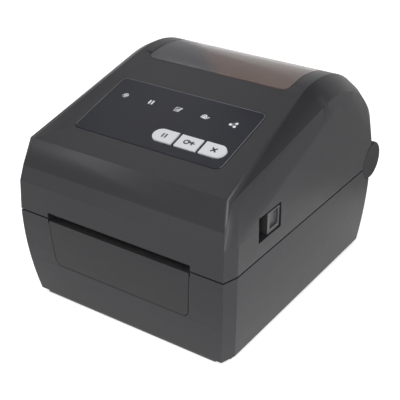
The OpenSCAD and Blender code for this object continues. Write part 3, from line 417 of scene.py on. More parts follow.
# case form
case = {
    "half": 90, "front": 112, "rear": 99, "waist": 74, "low": 4, "land": 0.6,   # mm
    "sideTaper": 5.5, "frontTaper": 7.6, "rearTaper": 1.5, "bow": 2, "rings": 7,
    "facetX": 3.5, "facetY": 11.5, "rearFacetX": 6, "rearFacetY": 4,
    "crownR": 84, "crownY": 31, "crownZ": 77.5, "crownSteps": 24,
    "napeR": 48, "napeTurn": 38, "napeEnd": -20, "napeSteps": 14,
    "brow": (-108.2, 109), "crease": (-99.4, 127), "browSide": 6, "topFront": 79, "topRear": 71.5,
    "shoulders": [(78.75, 3.8), (86, 10), (88, 20)],   # half width, drop
    "girth": 96, "girthSide": 0.3, "girthFront": 1.3, "girthRear": 2, "lidFrom": 62,
    "skin": 0.03, "sharpFrom": 24,   # degrees
    "ridgeRound": 3.8, "ridgeSteps": 5, "ridgeTurn": 3.5, "ridgeFrom": 97.5, "leanMost": 0.35,
    "edgeRound": 1.2, "edgeSteps": 3, "edgeTurn": 12, "lidEdgeFrom": 73.5, "baseEdgeTo": 70,
    "grooveOut": 2, "grooveDepth": 1.3, "grooveHalf": 0.6, "crumb": 0.4, "sliver": 0.04,
    "creaseLong": 20, "creaseReach": 3,   # which creases stay crisp
    "keep": ((-92, 92), (-60, 110), (73.9, 90)),   # what stays of the base above the waist
    "cutLow": 100, "cutHigh": 180,   # height of what cuts down through the top
}


def slopeAngle():
    out = Vector((case["crease"][0] - case["crownY"], case["crease"][1] - case["crownZ"]))
    tangent = math.atan2(out.y, out.x) - math.acos(case["crownR"] / out.length)
    return tangent, tangent - math.pi / 2


tangentAngle, slope = slopeAngle()


def planOutline(half, front, rear):
    c = case
    return [(c["facetX"] - half, -front), (half - c["facetX"], -front), (half, c["facetY"] - front),
            (half, rear - c["rearFacetY"]), (half - c["rearFacetX"], rear), (c["rearFacetX"] - half, rear),
            (-half, rear - c["rearFacetY"]), (-half, c["facetY"] - front)]


def caseOutline(grow):
    return planOutline(case["half"] + grow, case["front"] + grow, case["rear"] + grow)


def arcPoints(y, z, radius, first, last, steps):
    turns = [first + (last - first) * i / steps for i in range(steps + 1)]
    return [(y + radius * math.cos(a), z + radius * math.sin(a)) for a in turns]


def crownPoints(inset):
    c = case
    nape, span = math.radians(c["napeTurn"]), c["crownR"] - c["napeR"]
    crown = arcPoints(c["crownY"], c["crownZ"], c["crownR"] - inset, tangentAngle, nape, c["crownSteps"])
    return crown + arcPoints(c["crownY"] + span * math.cos(nape), c["crownZ"] + span * math.sin(nape),
                             c["napeR"] - inset, nape, math.radians(c["napeEnd"]), c["napeSteps"])


def cornerPoint(p, first, second, inset):
    first, second = Vector(first), Vector(second)
    return Vector(p) + inset * (first + second) / (1 + first.dot(second))


def edgeIn(a, b):
    run = (Vector(b) - Vector(a)).normalized()
    return (run.y, -run.x)


faceIn = edgeIn((-case["front"], case["waist"]), case["brow"])
bevelIn = edgeIn(case["brow"], case["crease"])
topIn = (math.sin(slope), -math.cos(slope))


def browAt(inset):
    return tuple(cornerPoint(case["brow"], faceIn, bevelIn, inset))


def creaseAt(inset):
    return tuple(cornerPoint(case["crease"], bevelIn, topIn, inset))


def lidHull(skin):
    c = case
    land = c["land"]
    rows = [(c["topRear"], crownPoints(skin))]
    for half, drop in c["shoulders"]:
        rows.append((half, [browAt(drop + skin), creaseAt(drop + skin)] + crownPoints(drop + skin)))
    rows.append((c["topFront"], [creaseAt(skin), creaseAt(skin + land), browAt(skin + 2 * land)]))
    rows.append((c["half"] - c["browSide"], [browAt(skin), creaseAt(skin + 2 * land), browAt(skin + land)]))
    points = [(side * (half - skin), y, z) for half, row in rows for y, z in row for side in (-1, 1)]
    girth = planOutline(c["half"] - c["girthSide"] - skin, c["front"] - c["girthFront"] - skin,
                        c["rear"] - c["girthRear"] - skin)
    for z in (c["girth"], c["girth"] + land):
        points += [(x, y, z) for x, y in girth]
    for z in (c["lidFrom"], c["waist"] + land):
        points += [(x, y, z) for x, y in caseOutline(-skin)]
    return hullOf(points)


def baseHull(skin):
    c = case
    rise = c["waist"] - c["low"]
    points = []
    for i in range(c["rings"] + 1):
        lean = (i / c["rings"]) ** c["bow"]
        outline = planOutline(c["half"] - c["sideTaper"] * lean - skin,
                              c["front"] - c["frontTaper"] * lean - skin,
                              c["rear"] - c["rearTaper"] * lean - skin)
        low = c["waist"] - rise * i / c["rings"]
        for z in ((low, low - c["land"]) if i == 0 else (low + skin, low + c["land"])):
            points += [(x, y, z) for x, y in outline]
    return hullOf(points)


def alongDepth(edge):
    run = (edge.verts[1].co - edge.verts[0].co).normalized()
    return abs(run.x) < case["leanMost"]


def ringBlock(outer, inner, low, high, place=upright):
    bm = bmesh.new()
    loops = [[bm.verts.new(place(a, b, level)) for a, b in outline]
             for outline in (outer, inner) for level in (low, high)]
    outLow, outHigh, inLow, inHigh = loops
    for first, second in ((outLow, outHigh), (outHigh, inHigh), (inHigh, inLow), (inLow, outLow)):
        wallBetween(bm, first, second)
    bmesh.ops.recalc_face_normals(bm, faces=bm.faces)
    return bm


def roundedOutline(halfWide, low, high, radius, steps=8):
    points = []
    for cx, cy, start in ((halfWide - radius, high - radius, 0), (radius - halfWide, high - radius, 90),
                          (radius - halfWide, low + radius, 180), (halfWide - radius, low + radius, 270)):
        for i in range(steps + 1):
            a = math.radians(start + 90 * i / steps)
            points.append((cx + radius * math.cos(a), cy + radius * math.sin(a)))
    return points


def onSlope(x, s, rise):
    y = case["crease"][0] + s * math.cos(slope) - rise * math.sin(slope)
    z = case["crease"][1] + s * math.sin(slope) + rise * math.cos(slope)
    return upright(x, y, z)


# gaps between the mouldings
gaps = {
    "insert": 0.55, "insertDepth": 1.1, "insertHalf": 60, "insertFoot": 58, "insertLow": 36,   # mm
    "insertTop": 72.4, "insertRound": 5, "insertSteps": 8, "insertTight": 0.02, "insertRun": (-116, -96),
    "window": 0.8, "windowDepth": 1.4, "windowHalf": 60, "windowFront": 8, "windowRear": 89, "corner": 5,
    "panel": 0.4, "panelDepth": 1.0, "panelRise": 3, "panelHalf": 61.5, "panelFrom": 21.5, "panelTo": 83.5,
    "under": 1,   # how far each ring reaches in under its piece
}


def insertOutline(grow):
    g = gaps
    radius = g["insertRound"]
    points = [(g["insertHalf"] + grow, g["insertTop"] + grow)]
    for side, first in ((1, 0), (-1, -90)):
        for i in range(g["insertSteps"] + 1):
            a = math.radians(first - 90 * i / g["insertSteps"])
            points.append((side * (g["insertFoot"] - radius) + (radius + grow) * math.cos(a),
                           g["insertLow"] + radius + (radius + grow) * math.sin(a)))
    return points + [(-g["insertHalf"] - grow, g["insertTop"] + grow)]


def windowOutline(grow=0.0):
    g = gaps
    return roundedOutline(g["windowHalf"] + grow, g["windowFront"] - grow, g["windowRear"] + grow,
                          g["corner"] + grow)


def panelOutline(grow):
    g = gaps
    return roundedOutline(g["panelHalf"] + grow, g["panelFrom"] - grow, g["panelTo"] + grow,
                          g["corner"] + grow)


def partingRing():
    c = case
    return ringBlock(caseOutline(c["grooveOut"]), caseOutline(-c["grooveDepth"]),
                     c["waist"] - c["grooveHalf"], c["waist"] + c["grooveHalf"])


def insertRing():
    ring = ringBlock(insertOutline(gaps["insert"]), insertOutline(-gaps["insertTight"]), *gaps["insertRun"],
                     lambda x, z, y: upright(x, y, z))
    return cutWith(ring, [("DIFFERENCE", baseHull(gaps["insertDepth"]))])


def windowRing():
    g = gaps
    ring = ringBlock(windowOutline(g["window"]), windowOutline(-g["under"]), case["cutLow"], case["cutHigh"])
    return cutWith(ring, [("DIFFERENCE", lidHull(g["windowDepth"]))])


def panelRing():
    g = gaps
    return ringBlock(panelOutline(g["panel"]), panelOutline(-g["under"]), -g["panelDepth"], g["panelRise"],
                     onSlope)


def makeLid():
    c = case
    hull = lidHull(c["skin"])
    roundEdges(hull, lambda e: alongDepth(e) and turned(e) > c["ridgeTurn"] and lowest(e) > c["ridgeFrom"],
               c["ridgeRound"], c["ridgeSteps"])
    roundEdges(hull, lambda e: turned(e) > c["edgeTurn"] and lowest(e) > c["lidEdgeFrom"],
               c["edgeRound"], c["edgeSteps"])
    bmesh.ops.remove_doubles(hull, verts=hull.verts, dist=c["crumb"] * mm)
    bmesh.ops.dissolve_degenerate(hull, edges=hull.edges, dist=c["sliver"] * mm)
    lid = cutWith(mergedCopy("lid_shell"), [("INTERSECT", hull), ("DIFFERENCE", partingRing()),
                                            ("DIFFERENCE", windowRing()), ("DIFFERENCE", panelRing())])
    print("lid shell cut,", len(lid.faces), "faces")
    cover = newPiece("lidCover", lid, "lidBlack", "lid", c["sharpFrom"], ["lid_shell"])
    for edge in cover.data.edges:   # the front's long creases stay crisp
        a, b = (cover.data.vertices[i].co / mm for i in edge.vertices)
        if abs(a.x - b.x) > c["creaseLong"] and max(a.y, b.y) < c["crease"][0] + c["creaseReach"]:
            edge.use_edge_sharp = True


# painted shade: thin black sheets on the front of each latch pad and at the floor of the window's groove, where
# deep shade falls
shadow = {"thick": 0.12, "out": 88.5, "in": 83, "low": 86.4, "high": 103.6, "seam": 0.5, "clear": 0.05}   # mm


def makeShadows():
    w, g = shadow, gaps
    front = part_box("latch_right")[0][1] / mm
    for side, name, body in ((1, "latchPadShadeRight", "right_latch"), (-1, "latchPadShadeLeft", "left_latch")):
        x = sorted((side * w["in"], side * w["out"]))
        cover = plate(x, (front - w["thick"], front), (w["low"], w["high"]))
        newPiece(name, cover, "paintedShadeBlack", body)
    ring = ringBlock(windowOutline(g["window"] - w["clear"]), windowOutline(w["clear"]),
                     case["cutLow"], case["cutHigh"])
    seam = cutWith(ring, [("INTERSECT", lidHull(w["seam"])),
                          ("DIFFERENCE", lidHull(g["windowDepth"] - w["clear"]))])
    newPiece("windowSeamShade", seam, "paintedShadeBlack", "lid")


def makeBase():
    c = case
    hull = baseHull(c["skin"])
    roundEdges(hull, lambda e: turned(e) > c["edgeTurn"] and lowest(e) < c["baseEdgeTo"],
               c["edgeRound"], c["edgeSteps"])
    rounded = cutWith(hull, [("UNION", plate(*c["keep"]))])
    base = cutWith(mergedCopy("base_shell"), [("DIFFERENCE", partingRing()), ("DIFFERENCE", insertRing()),
                                              ("INTERSECT", rounded)])
    print("base shell cut,", len(base.faces), "faces")
    newPiece("baseHousing", base, "baseBlack", "base", c["sharpFrom"], ["base_shell"])


makeLid()
makeShadows()
makeBase()
print("case ready")


# bevelled copies
trims = [
    # node, piece, material, body, slot, width, segments, smallest angle
    ("front_insert", "frontInsert", "insertBlack", "base", "insert_black", 0.4, 3, 30),
    ("bottom_plate", "bottomPlate", "plateBlack", "base", "plate_grey", 0.3, 2, 30),
    ("rubber_feet", "rubberFeet", "footRubber", "base", "foot_rubber", 0.5, 3, 60),
    ("hinge_caps", "hingeCaps", "capBlack", "base", "case_black", 0.3, 2, 60),
    ("media_tray", "mediaTray", "innerBlack", "base", "inner_black", 0.25, 2, 60),
    ("roll_holder_left", "rollHolderLeft", "holderBlack", "holder_left", "holder_black", 0.25, 2, 60),
    ("roll_holder_right", "rollHolderRight", "holderBlack", "holder_right", "holder_black", 0.25, 2, 60),
    ("roll_hub_left", "rollHubLeft", "hubGrey", "hub_left", "hub_grey", 0.3, 2, 60),
    ("roll_hub_right", "rollHubRight", "hubGrey", "hub_right", "hub_grey", 0.3, 2, 60),
    ("platen_rubber", "platenRubber", "rollerRubber", "platen", "platen_rubber", 0.3, 3, 60),
    ("stepper_motor", "stepperMotor", "motorSteel", "base", "motor_steel", 0.5, 3, 60),
    ("lid_frame", "lidFrame", "innerBlack", "lid", "inner_black", 0.25, 2, 60),
    ("head_heatsink", "headHeatsink", "headAluminium", "print_head", "head_aluminium", 0.12, 1, 60),
    ("control_panel", "controlPanel", "panelGloss", "lid", "panel_gloss", 0.22, 2, 60),
    ("pause_key", "pauseKey", "keyGrey", "pause_button", "key_grey", 0.3, 3, 60),
    ("feed_key", "feedKey", "keyGrey", "feed_button", "key_grey", 0.3, 3, 60),
    ("cancel_key", "cancelKey", "keyGrey", "cancel_button", "key_grey", 0.3, 3, 60),
    ("latch_right", "latchRight", "latchBlack", "right_latch", "latch_grey", 0.35, 3, 60),
    ("latch_left", "latchLeft", "latchBlack", "left_latch", "latch_grey", 0.35, 3, 60),
    ("usb_port", "dataPort", "portSteel", "base", "port_steel", 0.3, 2, 60),
    ("network_port", "networkPort", "portSteel", "base", "port_steel", 0.3, 2, 60),
    ("power_inlet", "powerInlet", "portBlack", "base", "port_black", 0.3, 2, 60),
    ("power_rocker", "powerRocker", "portBlack", "rocker", "port_black", 0.3, 2, 50),
    ("switch_housing", "switchHousing", "portBlack", "base", "port_black", 0.25, 2, 60),
]

shortestEdge = 0.0007   # m, left unrounded below this
trimSharp = 32   # degrees

for node, name, material, body, slotName, width, segments, smallest in trims:
    form = mergedCopy(node)
    roundEdges(form, lambda e: turned(e) > smallest and e.calc_length() > shortestEdge, width, segments)
    newPiece(name, form, material, body, trimSharp, [node])
print("bevelled pieces ready")


# window
window = {"thick": 2.0, "steps": 72, "skin": 0.02, "past": 2, "side": 70, "low": 60}   # mm


def makeWindow():
    w, c = window, case
    low = math.acos((gaps["windowFront"] - w["past"] - c["crownY"]) / c["crownR"])
    high = math.acos(min(1, (gaps["windowRear"] + w["past"] - c["crownY"]) / (c["crownR"] - w["thick"])))
    outer = arcPoints(c["crownY"], c["crownZ"], c["crownR"] - w["skin"], low, high, w["steps"])
    inner = arcPoints(c["crownY"], c["crownZ"], c["crownR"] - w["thick"], low, high, w["steps"])
    bm = bmesh.new()
    addPrism(bm, outer + inner[::-1], -w["side"], w["side"], lambda y, z, x: upright(x, y, z))
    bmesh.ops.recalc_face_normals(bm, faces=bm.faces)
    sheet = cutWith(bm, [("INTERSECT", prism(windowOutline(), w["low"], c["cutHigh"]))])
    newPiece("rollWindow", sheet, "smokedWindow", "lid", 30, ["roll_window"])


makeWindow()
print("window ready")


# screws, springs and contacts
def newTree(name, inputs):
    return newGroup(name, "GeometryNodeTree", [("Places", "NodeSocketGeometry", None)] + inputs
                    + [("Finish", "NodeSocketMaterial", None)], [("Geometry", "NodeSocketGeometry")])


def moved(tree, geometry, z, turn=0.0):
    offset = built(tree, "ShaderNodeCombineXYZ", {"Z": z})
    return built(tree, "GeometryNodeTransform", {"Geometry": geometry, "Translation": offset,
                                                 "Rotation": (0, 0, turn)})


def fed(tree, node, socket, *parts):
    for part in parts:
        tree.links.new(part, node.inputs[socket])
    return node.outputs[0]


def closeTree(tree, given, made, shape, turn=None):
    inputs = {"Points": given["Places"], "Instance": shape}
    if turn is not None:
        inputs["Rotation"] = turn
    spread = built(tree, "GeometryNodeInstanceOnPoints", inputs)
    real = built(tree, "GeometryNodeRealizeInstances", {"Geometry": spread})
    dressed = built(tree, "GeometryNodeSetMaterial", {"Geometry": real, "Material": given["Finish"]})
    tree.links.new(dressed, made["Geometry"])
    return tree


crossHead = {"dome": 2.4, "long": 1.25, "wide": 0.28, "deep": 1.1}   # shares of the head's radius and height


def makeScrewTree():
    tree, given, made = newTree("crossScrew", [
        ("Head Radius", "NodeSocketFloat", 0.0028), ("Head Height", "NodeSocketFloat", 0.001),
        ("Shank Radius", "NodeSocketFloat", 0.00125), ("Shank Length", "NodeSocketFloat", 0.01),
        ("Turn", "NodeSocketVector", (0, 0, 0))])
    radius, height, length = given["Head Radius"], given["Head Height"], given["Shank Length"]
    disc = built(tree, "GeometryNodeMeshCylinder", {"Vertices": 40, "Radius": radius, "Depth": height})
    domeR = maths(tree, "MULTIPLY", radius, crossHead["dome"])
    dome = built(tree, "GeometryNodeMeshUVSphere", {"Segments": 40, "Rings": 28, "Radius": domeR})
    head = fed(tree, put(tree, "GeometryNodeMeshBoolean", operation="INTERSECT"), "Mesh 2",
               moved(tree, disc, maths(tree, "MULTIPLY", height, 0.5)),
               moved(tree, dome, maths(tree, "SUBTRACT", height, domeR)))
    size = built(tree, "ShaderNodeCombineXYZ", {"X": maths(tree, "MULTIPLY", radius, crossHead["long"]),
                                                "Y": maths(tree, "MULTIPLY", radius, crossHead["wide"]),
                                                "Z": maths(tree, "MULTIPLY", height, crossHead["deep"])})
    bar = built(tree, "GeometryNodeMeshCube", {"Size": size})
    recess = fed(tree, put(tree, "GeometryNodeMeshBoolean", {"Mesh 1": head}, operation="DIFFERENCE"), "Mesh 2",
                 *(moved(tree, bar, height, turn) for turn in (0.0, math.pi / 2)))
    shank = built(tree, "GeometryNodeMeshCylinder", {"Vertices": 16, "Radius": given["Shank Radius"],
                                                     "Depth": length})
    shank = moved(tree, shank, maths(tree, "MULTIPLY", length, -0.5))
    whole = fed(tree, put(tree, "GeometryNodeJoinGeometry"), "Geometry", recess, shank)
    return closeTree(tree, given, made, whole, given["Turn"])


def makeSpringTree():
    tree, given, made = newTree("coilSpring", [
        ("Coil Radius", "NodeSocketFloat", 0.0035), ("Wire Radius", "NodeSocketFloat", 0.0005),
        ("Height", "NodeSocketFloat", 0.0085), ("Turns", "NodeSocketFloat", 6.0)])
    radius, wire = given["Coil Radius"], given["Wire Radius"]
    rise = maths(tree, "SUBTRACT", given["Height"], maths(tree, "MULTIPLY", wire, 2.0))
    coil = built(tree, "GeometryNodeCurveSpiral", {"Resolution": 24, "Rotations": given["Turns"],
                                                   "Start Radius": radius, "End Radius": radius,
                                                   "Height": rise})
    section = built(tree, "GeometryNodeCurvePrimitiveCircle", {"Resolution": 10, "Radius": wire})
    wound = built(tree, "GeometryNodeCurveToMesh", {"Curve": coil, "Profile Curve": section, "Fill Caps": True})
    return closeTree(tree, given, made, moved(tree, wound, wire))


def makeContactTree():
    tree, given, made = newTree("contactRow", [
        ("Count", "NodeSocketInt", 4), ("Pitch", "NodeSocketFloat", 0.001),
        ("Size", "NodeSocketVector", (1, 1, 1))])
    last = maths(tree, "SUBTRACT", given["Count"], 1.0)
    startX = maths(tree, "MULTIPLY", maths(tree, "MULTIPLY", last, -0.5), given["Pitch"])
    start = built(tree, "ShaderNodeCombineXYZ", {"X": startX})
    step = built(tree, "ShaderNodeCombineXYZ", {"X": given["Pitch"]})
    row = built(tree, "GeometryNodeMeshLine", {"Count": given["Count"], "Start Location": start,
                                               "Offset": step}, mode="OFFSET")
    blade = built(tree, "GeometryNodeMeshCube", {"Size": given["Size"]})
    blades = built(tree, "GeometryNodeInstanceOnPoints", {"Points": row, "Instance": blade})
    return closeTree(tree, given, made, blades)


def grown(tree, places, material, values):
    mesh = bpy.data.meshes.new("places")
    mesh.from_pydata([Vector(place) * mm for place in places], [], [])
    holder = bpy.data.objects.new("places", mesh)
    bpy.context.scene.collection.objects.link(holder)
    change = holder.modifiers.new("grow", "NODES")
    change.node_group = tree
    values = dict(values, Finish=finish[material])
    for item in tree.interface.items_tree:
        if item.item_type == "SOCKET" and item.in_out == "INPUT" and item.name in values:
            change[item.identifier] = values[item.name]
    bpy.context.view_layer.update()
    made = bpy.data.meshes.new_from_object(holder.evaluated_get(bpy.context.evaluated_depsgraph_get()))
    bm = bmesh.new()
    bm.from_mesh(made)
    holder.modifiers.remove(change)
    bpy.data.objects.remove(holder)
    return bm


# mm; a head's numbers are its radius and height, then the shank's radius and length
screws = {
    "baseX": 77.9, "baseY": (-86, 80), "baseTop": 2.85, "baseHead": (2.8, 1.05, 1.25, 12.95),
    "frameX": 67, "frameY": (-91.4, -55.4), "frameTop": 97.0, "frameHead": (2.8, 1.5, 1.25, 9.5),
    "boardX": 55, "boardS": (25.5, 79.5), "boardRise": -7.5, "boardHead": (2.0, 1.0, 0.9, 4.5),
    "pinion": (0, 24, 8.2), "pinionHead": (4.0, 1.2, 1.25, 4.8),
}
springs = {"x": 30, "y": -95, "z": 88.5, "coil": 3.5, "wire": 0.5, "height": 8.5, "turns": 5.5, "keep": 0.955}
socketFit = {"bladeIn": 5.5, "bladeDrop": 0.1, "tongueIn": 1.4, "round": 0.2, "edgeTurn": 60}
contacts = {
    # piece: socket middle x, face y, z, count, pitch, blade, tongue, tongue's rise
    "dataContacts": (-12, 97.5, 17.1, 4, 1.6, (0.8, 5.0, 0.25), (7.4, 6.6, 1.8), -0.9),
    "networkContacts": (14, 97.5, 18.35, 8, 1.0, (0.4, 5.0, 0.25), (10.6, 7.0, 1.2), 2.4),
}


def screwSet(tree, places, sizes, turn):
    labels = ("Head Radius", "Head Height", "Shank Radius", "Shank Length")
    values = {label: size * mm for label, size in zip(labels, sizes)}
    return grown(tree, places, "screwSteel", dict(values, Turn=turn))


def together(first, second):
    mesh = bpy.data.meshes.new("joined")
    second.to_mesh(mesh)
    second.free()
    first.from_mesh(mesh)
    bpy.data.meshes.remove(mesh)
    return first


def makeSmallParts():
    screwTree, springTree, contactTree = makeScrewTree(), makeSpringTree(), makeContactTree()
    w, fit, down = screws, socketFit, (math.pi, 0, 0)
    places = [(side * w["baseX"], y, w["baseTop"]) for side in (-1, 1) for y in w["baseY"]]
    newPiece("baseScrews", screwSet(screwTree, places, w["baseHead"], down), "screwSteel", "base", 30,
             ["base_screws"])
    places = [(side * w["frameX"], y, w["frameTop"]) for side in (-1, 1) for y in w["frameY"]]
    frameScrews = screwSet(screwTree, places, w["frameHead"], down)
    places = [onSlope(side * w["boardX"], s, w["boardRise"]) / mm for side in (-1, 1) for s in w["boardS"]]
    boardScrews = screwSet(screwTree, places, w["boardHead"], (math.pi + slope, 0, 0))
    newPiece("lidScrews", together(frameScrews, boardScrews), "screwSteel", "lid", 30, ["lid_screws"])
    newPiece("pinionScrew", screwSet(screwTree, [w["pinion"]], w["pinionHead"], down), "screwSteel", "base",
             30, ["pinion_screw"])
    p = springs
    coils = grown(springTree, [(side * p["x"], p["y"], p["z"]) for side in (-1, 1)], "springSteel",
                  {"Coil Radius": p["coil"] * mm, "Wire Radius": p["wire"] * mm, "Height": p["height"] * mm,
                   "Turns": p["turns"]})
    pair = newPiece("headSprings", coils, "springSteel", "lid", 60, ["head_springs"],
                    even=False)
    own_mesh(pair)
    for name, (x, face, z, count, pitch, blade, tongue, rise) in contacts.items():
        wide, deep, thick = tongue
        low, front = z + rise - thick / 2, face - fit["tongueIn"]
        row = grown(contactTree, [(x, face - fit["bladeIn"], low - fit["bladeDrop"])], "contactGold",
                    {"Count": count, "Pitch": pitch * mm, "Size": tuple(side * mm for side in blade)})
        newPiece(name, row, "contactGold", "base")
        body = plate((x - wide / 2, x + wide / 2), (front - deep, front), (low, low + thick))
        roundEdges(body, lambda e: turned(e) > fit["edgeTurn"], fit["round"], 2)
        newPiece(name.replace("Contacts", "Tongue"), body, "portBlack", "base")


makeSmallParts()
print("screws, springs and contacts ready")


# printed marks
def bandShape(points, width, closed=False, reach=0.9):
    shapes = []
    count = len(points) if closed else len(points) - 1
    for i in range(count):
        a, b = Vector(points[i]), Vector(points[(i + 1) % len(points)])
        run = (b - a).normalized()
        side = Vector((-run.y, run.x)) * width / 2
        stretch = run * width / 2 * reach
        shapes.append([tuple(p) for p in (a - side - stretch, b - side + stretch, b + side + stretch,
                                          a + side - stretch)])
    return shapes


def ringShape(cx, cy, radius, width, first=0, last=360, steps=20):
    shapes = []
    for i in range(steps):
        a, b = (math.radians(first + (last - first) * k / steps) for k in (i, i + 1))
        inner, outer = radius - width / 2, radius + width / 2
        shapes.append([(cx + outer * math.cos(a), cy + outer * math.sin(a)),
                       (cx + outer * math.cos(b), cy + outer * math.sin(b)),
                       (cx + inner * math.cos(b), cy + inner * math.sin(b)),
                       (cx + inner * math.cos(a), cy + inner * math.sin(a))])
    return shapes


def discShape(cx, cy, radius, steps=16):
    return [arcPoints(cx, cy, radius, 0, 2 * math.pi, steps)[:-1]]


def twinBars(half, rise, width):
    return bandShape([(-half, -rise), (-half, rise)], width) + bandShape([(half, -rise), (half, rise)], width)


def markPiece(name, shapes, centre, base, thick, material, body):
    bm = bmesh.new()
    for shape in shapes:
        addPrism(bm, [(centre[0] + x, centre[1] + y) for x, y in shape], base, base + thick, onSlope)
    bmesh.ops.recalc_face_normals(bm, faces=bm.faces)
    newPiece(name, bm, material, body)


marks = {
    "rowS": 65.0, "rowX": -0.8, "pitch": 23.0, "thick": 0.06,   # mm
    "keyS": 36.65, "keyX": 27.6, "keyPitch": 20.05, "keyTop": 0.8,
    "rimIn": 0.45, "rimWide": 0.4, "rimThick": 0.04, "rimOpen": 2,
}


def makeMarks():
    m = marks
    x = [m["rowX"] + i * m["pitch"] for i in range(-2, 3)]
    icons = {
        "powerMark": ringShape(0, 0, 2.2, 0.3) + bandShape([(-1.1, 0.1), (1.3, 0.1)], 0.95)
                     + bandShape([(0.1, -1.1), (0.1, 1.3)], 0.95),
        "pauseMark": twinBars(1.25, 1.6, 1.15),
        "paperMark": bandShape([(-2.2, -2.0), (-2.2, 2.0), (1.9, 2.0), (1.9, -2.0)], 0.4, True)
                     + bandShape([(-0.4, -0.2), (0.5, -0.9), (2.6, 1.7)], 0.95),
        "feedMark": ringShape(-0.8, 0.1, 1.7, 0.8, -20, 200) + discShape(-0.6, -0.2, 0.9)
                    + bandShape([(-2.9, -1.0), (1.0, -1.6), (3.2, 0.3)], 0.75),
        "networkMark": discShape(-2.2, -0.6, 1.15) + discShape(1.6, 1.6, 1.15) + discShape(1.6, -1.8, 1.15)
                       + bandShape([(1.6, 1.6), (-2.2, -0.6), (1.6, -1.8)], 0.2),
    }
    for centreX, (name, shapes) in zip(x, icons.items()):
        markPiece(name, shapes, (centreX, m["rowS"]), 0.0, m["thick"], "printWhite", "lid")
    keyMarks = {
        "pauseGlyph": ("pause_button", twinBars(1.25, 1.5, 1.2)),
        "feedGlyph": ("feed_button", ringShape(-1.9, 0.0, 1.75, 1.1)
                      + bandShape([(-0.5, 1.6), (1.4, 0.7)], 0.9) + bandShape([(1.0, 0), (4.4, 0)], 1.05)
                      + bandShape([(2.7, -1.5), (2.7, 1.5)], 1.05)),
        "cancelGlyph": ("cancel_button", bandShape([(-1.5, -1.5), (1.5, 1.5)], 1.3)
                        + bandShape([(-1.5, 1.5), (1.5, -1.5)], 1.3)),
    }
    for i, (name, (body, shapes)) in enumerate(keyMarks.items()):
        markPiece(name, shapes, (m["keyX"] + (i - 1) * m["keyPitch"], m["keyS"]), m["keyTop"], m["thick"],
                  "printDark", body)
    # painted highlight: a thin light grey band along the panel's edge, left open at the front, for the light
    # the edge catches
    edge = panelOutline(-m["rimIn"])
    last = len(edge) * 3 // 4
    rim = [point for point in edge[last:] + edge[:last] if point[1] > gaps["panelFrom"] + m["rimOpen"]]
    markPiece("panelEdgeHighlight", bandShape(rim, m["rimWide"]), (0, 0), 0.0, m["rimThick"], "paintedHighlightGrey", "lid")


makeMarks()
print("marks ready")


# carried over nodes
carried = {
    "gearWhite": ["platen_gear", "idler_gear", "spacing_pinion", "platen_bushings", "key_domes"],
    "pinionBrass": ["motor_pinion"],
    "plateSteel": ["frame_plate_left", "frame_plate_right", "latch_keepers", "head_bracket", "tear_bar"],
    "shaftSteel": ["platen_shaft", "idler_stud", "sensor_rail", "hinge_pins", "head_pivot"],
    "circuitBoard": ["main_board", "key_board"],
    "sensorGreen": ["mark_sensor", "gap_sensor"],
    "ceramicCream": ["head_ceramic"],
    "lightGuide": ["status_lights"],
}

for material, names in carried.items():
    for name in names:
        cad[name].data.materials.clear()
        cad[name].data.materials.append(finish[material])
print("carried nodes dressed")


# floor and light
studio = {
    "floorColour": (0.80, 0.80, 0.80),
    "floorHalf": 4.0,   # m
    "floorGlow": 0.5,
    "worldLight": 0.6,
    "aim": (0, 0, 60),   # mm
    "lamps": [
        # name, place mm, size mm, strength W, shown in gloss
        ("overhead", (-200, 100, 1100), 900, 1.5, False),
        ("frontRight", (270, -430, 370), 160, 1.8, True),
        ("left", (-1000, -300, 500), 700, 0.5, False),
        ("cornerGlint", (978, -55, 140), 160, 4.5, True),
        ("browGlint", (-405, -410, 847), 160, 2.6, True),
        ("frontGlint", (-330, -888, 95), 160, 0.6, True),
        ("panelGlow", (-560, 350, 935), 300, 0.25, True),
    ],
    "flags": [
        # name, place mm, width mm, height mm, grey; cards that only the gloss sees
        ("ridgeFlag", (322, 798, 1229), 1150, 640, 0.02),
        ("topFlag", (-948, 714, 742), 1070, 1400, 0.9),
        ("sideFlag", (112, 164, 45), 520, 170, 0.88),
    ],
}


def backgroundRays(tree):
    path = put(tree, "ShaderNodeLightPath").outputs
    seen = maths(tree, "MAXIMUM", path["Is Camera Ray"], path["Is Glossy Ray"])
    return maths(tree, "MAXIMUM", seen, path["Is Transmission Ray"])


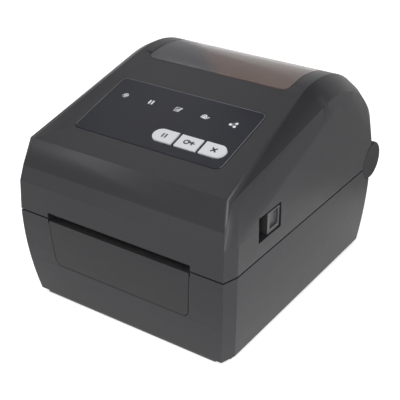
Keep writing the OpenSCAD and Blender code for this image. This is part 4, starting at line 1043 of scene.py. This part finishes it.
def makeFloor():
    bm = bmesh.new()
    bmesh.ops.create_grid(bm, x_segments=1, y_segments=1, size=studio["floorHalf"])
    floor = asObject("floor", bm)
    material, tree, surface, place = newMaterial("floorPale")
    tree.links.new(ramp(tree, noise(tree, place, 3.0), 0.3, 0.7, 0.75, 0.85), surface.inputs["Roughness"])
    surface.inputs["Base Color"].default_value = (*studio["floorColour"], 1)
    surface.inputs["Specular IOR Level"].default_value = 0.0
    glow = maths(tree, "MULTIPLY", backgroundRays(tree), studio["floorGlow"])
    white = put(tree, "ShaderNodeEmission", {"Color": (1, 1, 1, 1), "Strength": glow}).outputs[0]
    both = put(tree, "ShaderNodeAddShader", {0: surface.outputs[0], 1: white})
    tree.links.new(both.outputs[0], tree.nodes["Material Output"].inputs["Surface"])
    floor.data.materials.append(material)


def makeWorld():
    world = bpy.data.worlds.new("studio")
    bpy.context.scene.world = world
    world.use_nodes = True
    tree = world.node_tree
    plain = tree.nodes["Background"]
    plain.inputs["Color"].default_value = (1, 1, 1, 1)
    plain.inputs["Strength"].default_value = studio["worldLight"]
    white = put(tree, "ShaderNodeBackground", {"Color": (1, 1, 1, 1), "Strength": 1.0}).outputs[0]
    mix = put(tree, "ShaderNodeMixShader", {"Fac": backgroundRays(tree), 1: plain.outputs[0], 2: white})
    tree.links.new(mix.outputs[0], tree.nodes["World Output"].inputs["Surface"])


def makeLamps():
    for name, place, size, strength, glossy in studio["lamps"]:
        data = bpy.data.lights.new(name, "AREA")
        data.energy, data.size = strength, size * mm
        lamp = bpy.data.objects.new(name, data)
        bpy.context.scene.collection.objects.link(lamp)
        lamp.location = Vector(place) * mm
        aim = Vector(studio["aim"]) * mm - lamp.location
        lamp.rotation_euler = aim.to_track_quat("-Z", "Y").to_euler()
        lamp.visible_glossy = glossy


def makeFlags():
    for name, place, wide, high, grey in studio["flags"]:
        place = Vector(place)
        side = place.cross(Vector((0, 0, 1))).normalized()
        up = side.cross(place).normalized()
        bm = bmesh.new()
        bm.faces.new([bm.verts.new((place + side * x * wide / 2 + up * y * high / 2) * mm)
                      for x, y in ((-1, -1), (1, -1), (1, 1), (-1, 1))])
        flag = asObject(name, bm)
        material, tree, surface, spot = newMaterial(name)
        tree.links.new(ramp(tree, noise(tree, spot, 200.0), 0.3, 0.7, 0.9, 1.0), surface.inputs["Roughness"])
        surface.inputs["Base Color"].default_value = (grey, grey, grey, 1)
        surface.inputs["Specular IOR Level"].default_value = 0.0
        flag.data.materials.append(material)
        flag.visible_camera = flag.visible_diffuse = flag.visible_shadow = flag.visible_transmission = False


makeFloor()
makeWorld()
makeLamps()
makeFlags()
bpy.context.scene.view_settings.view_transform = "Standard"
print("studio ready")
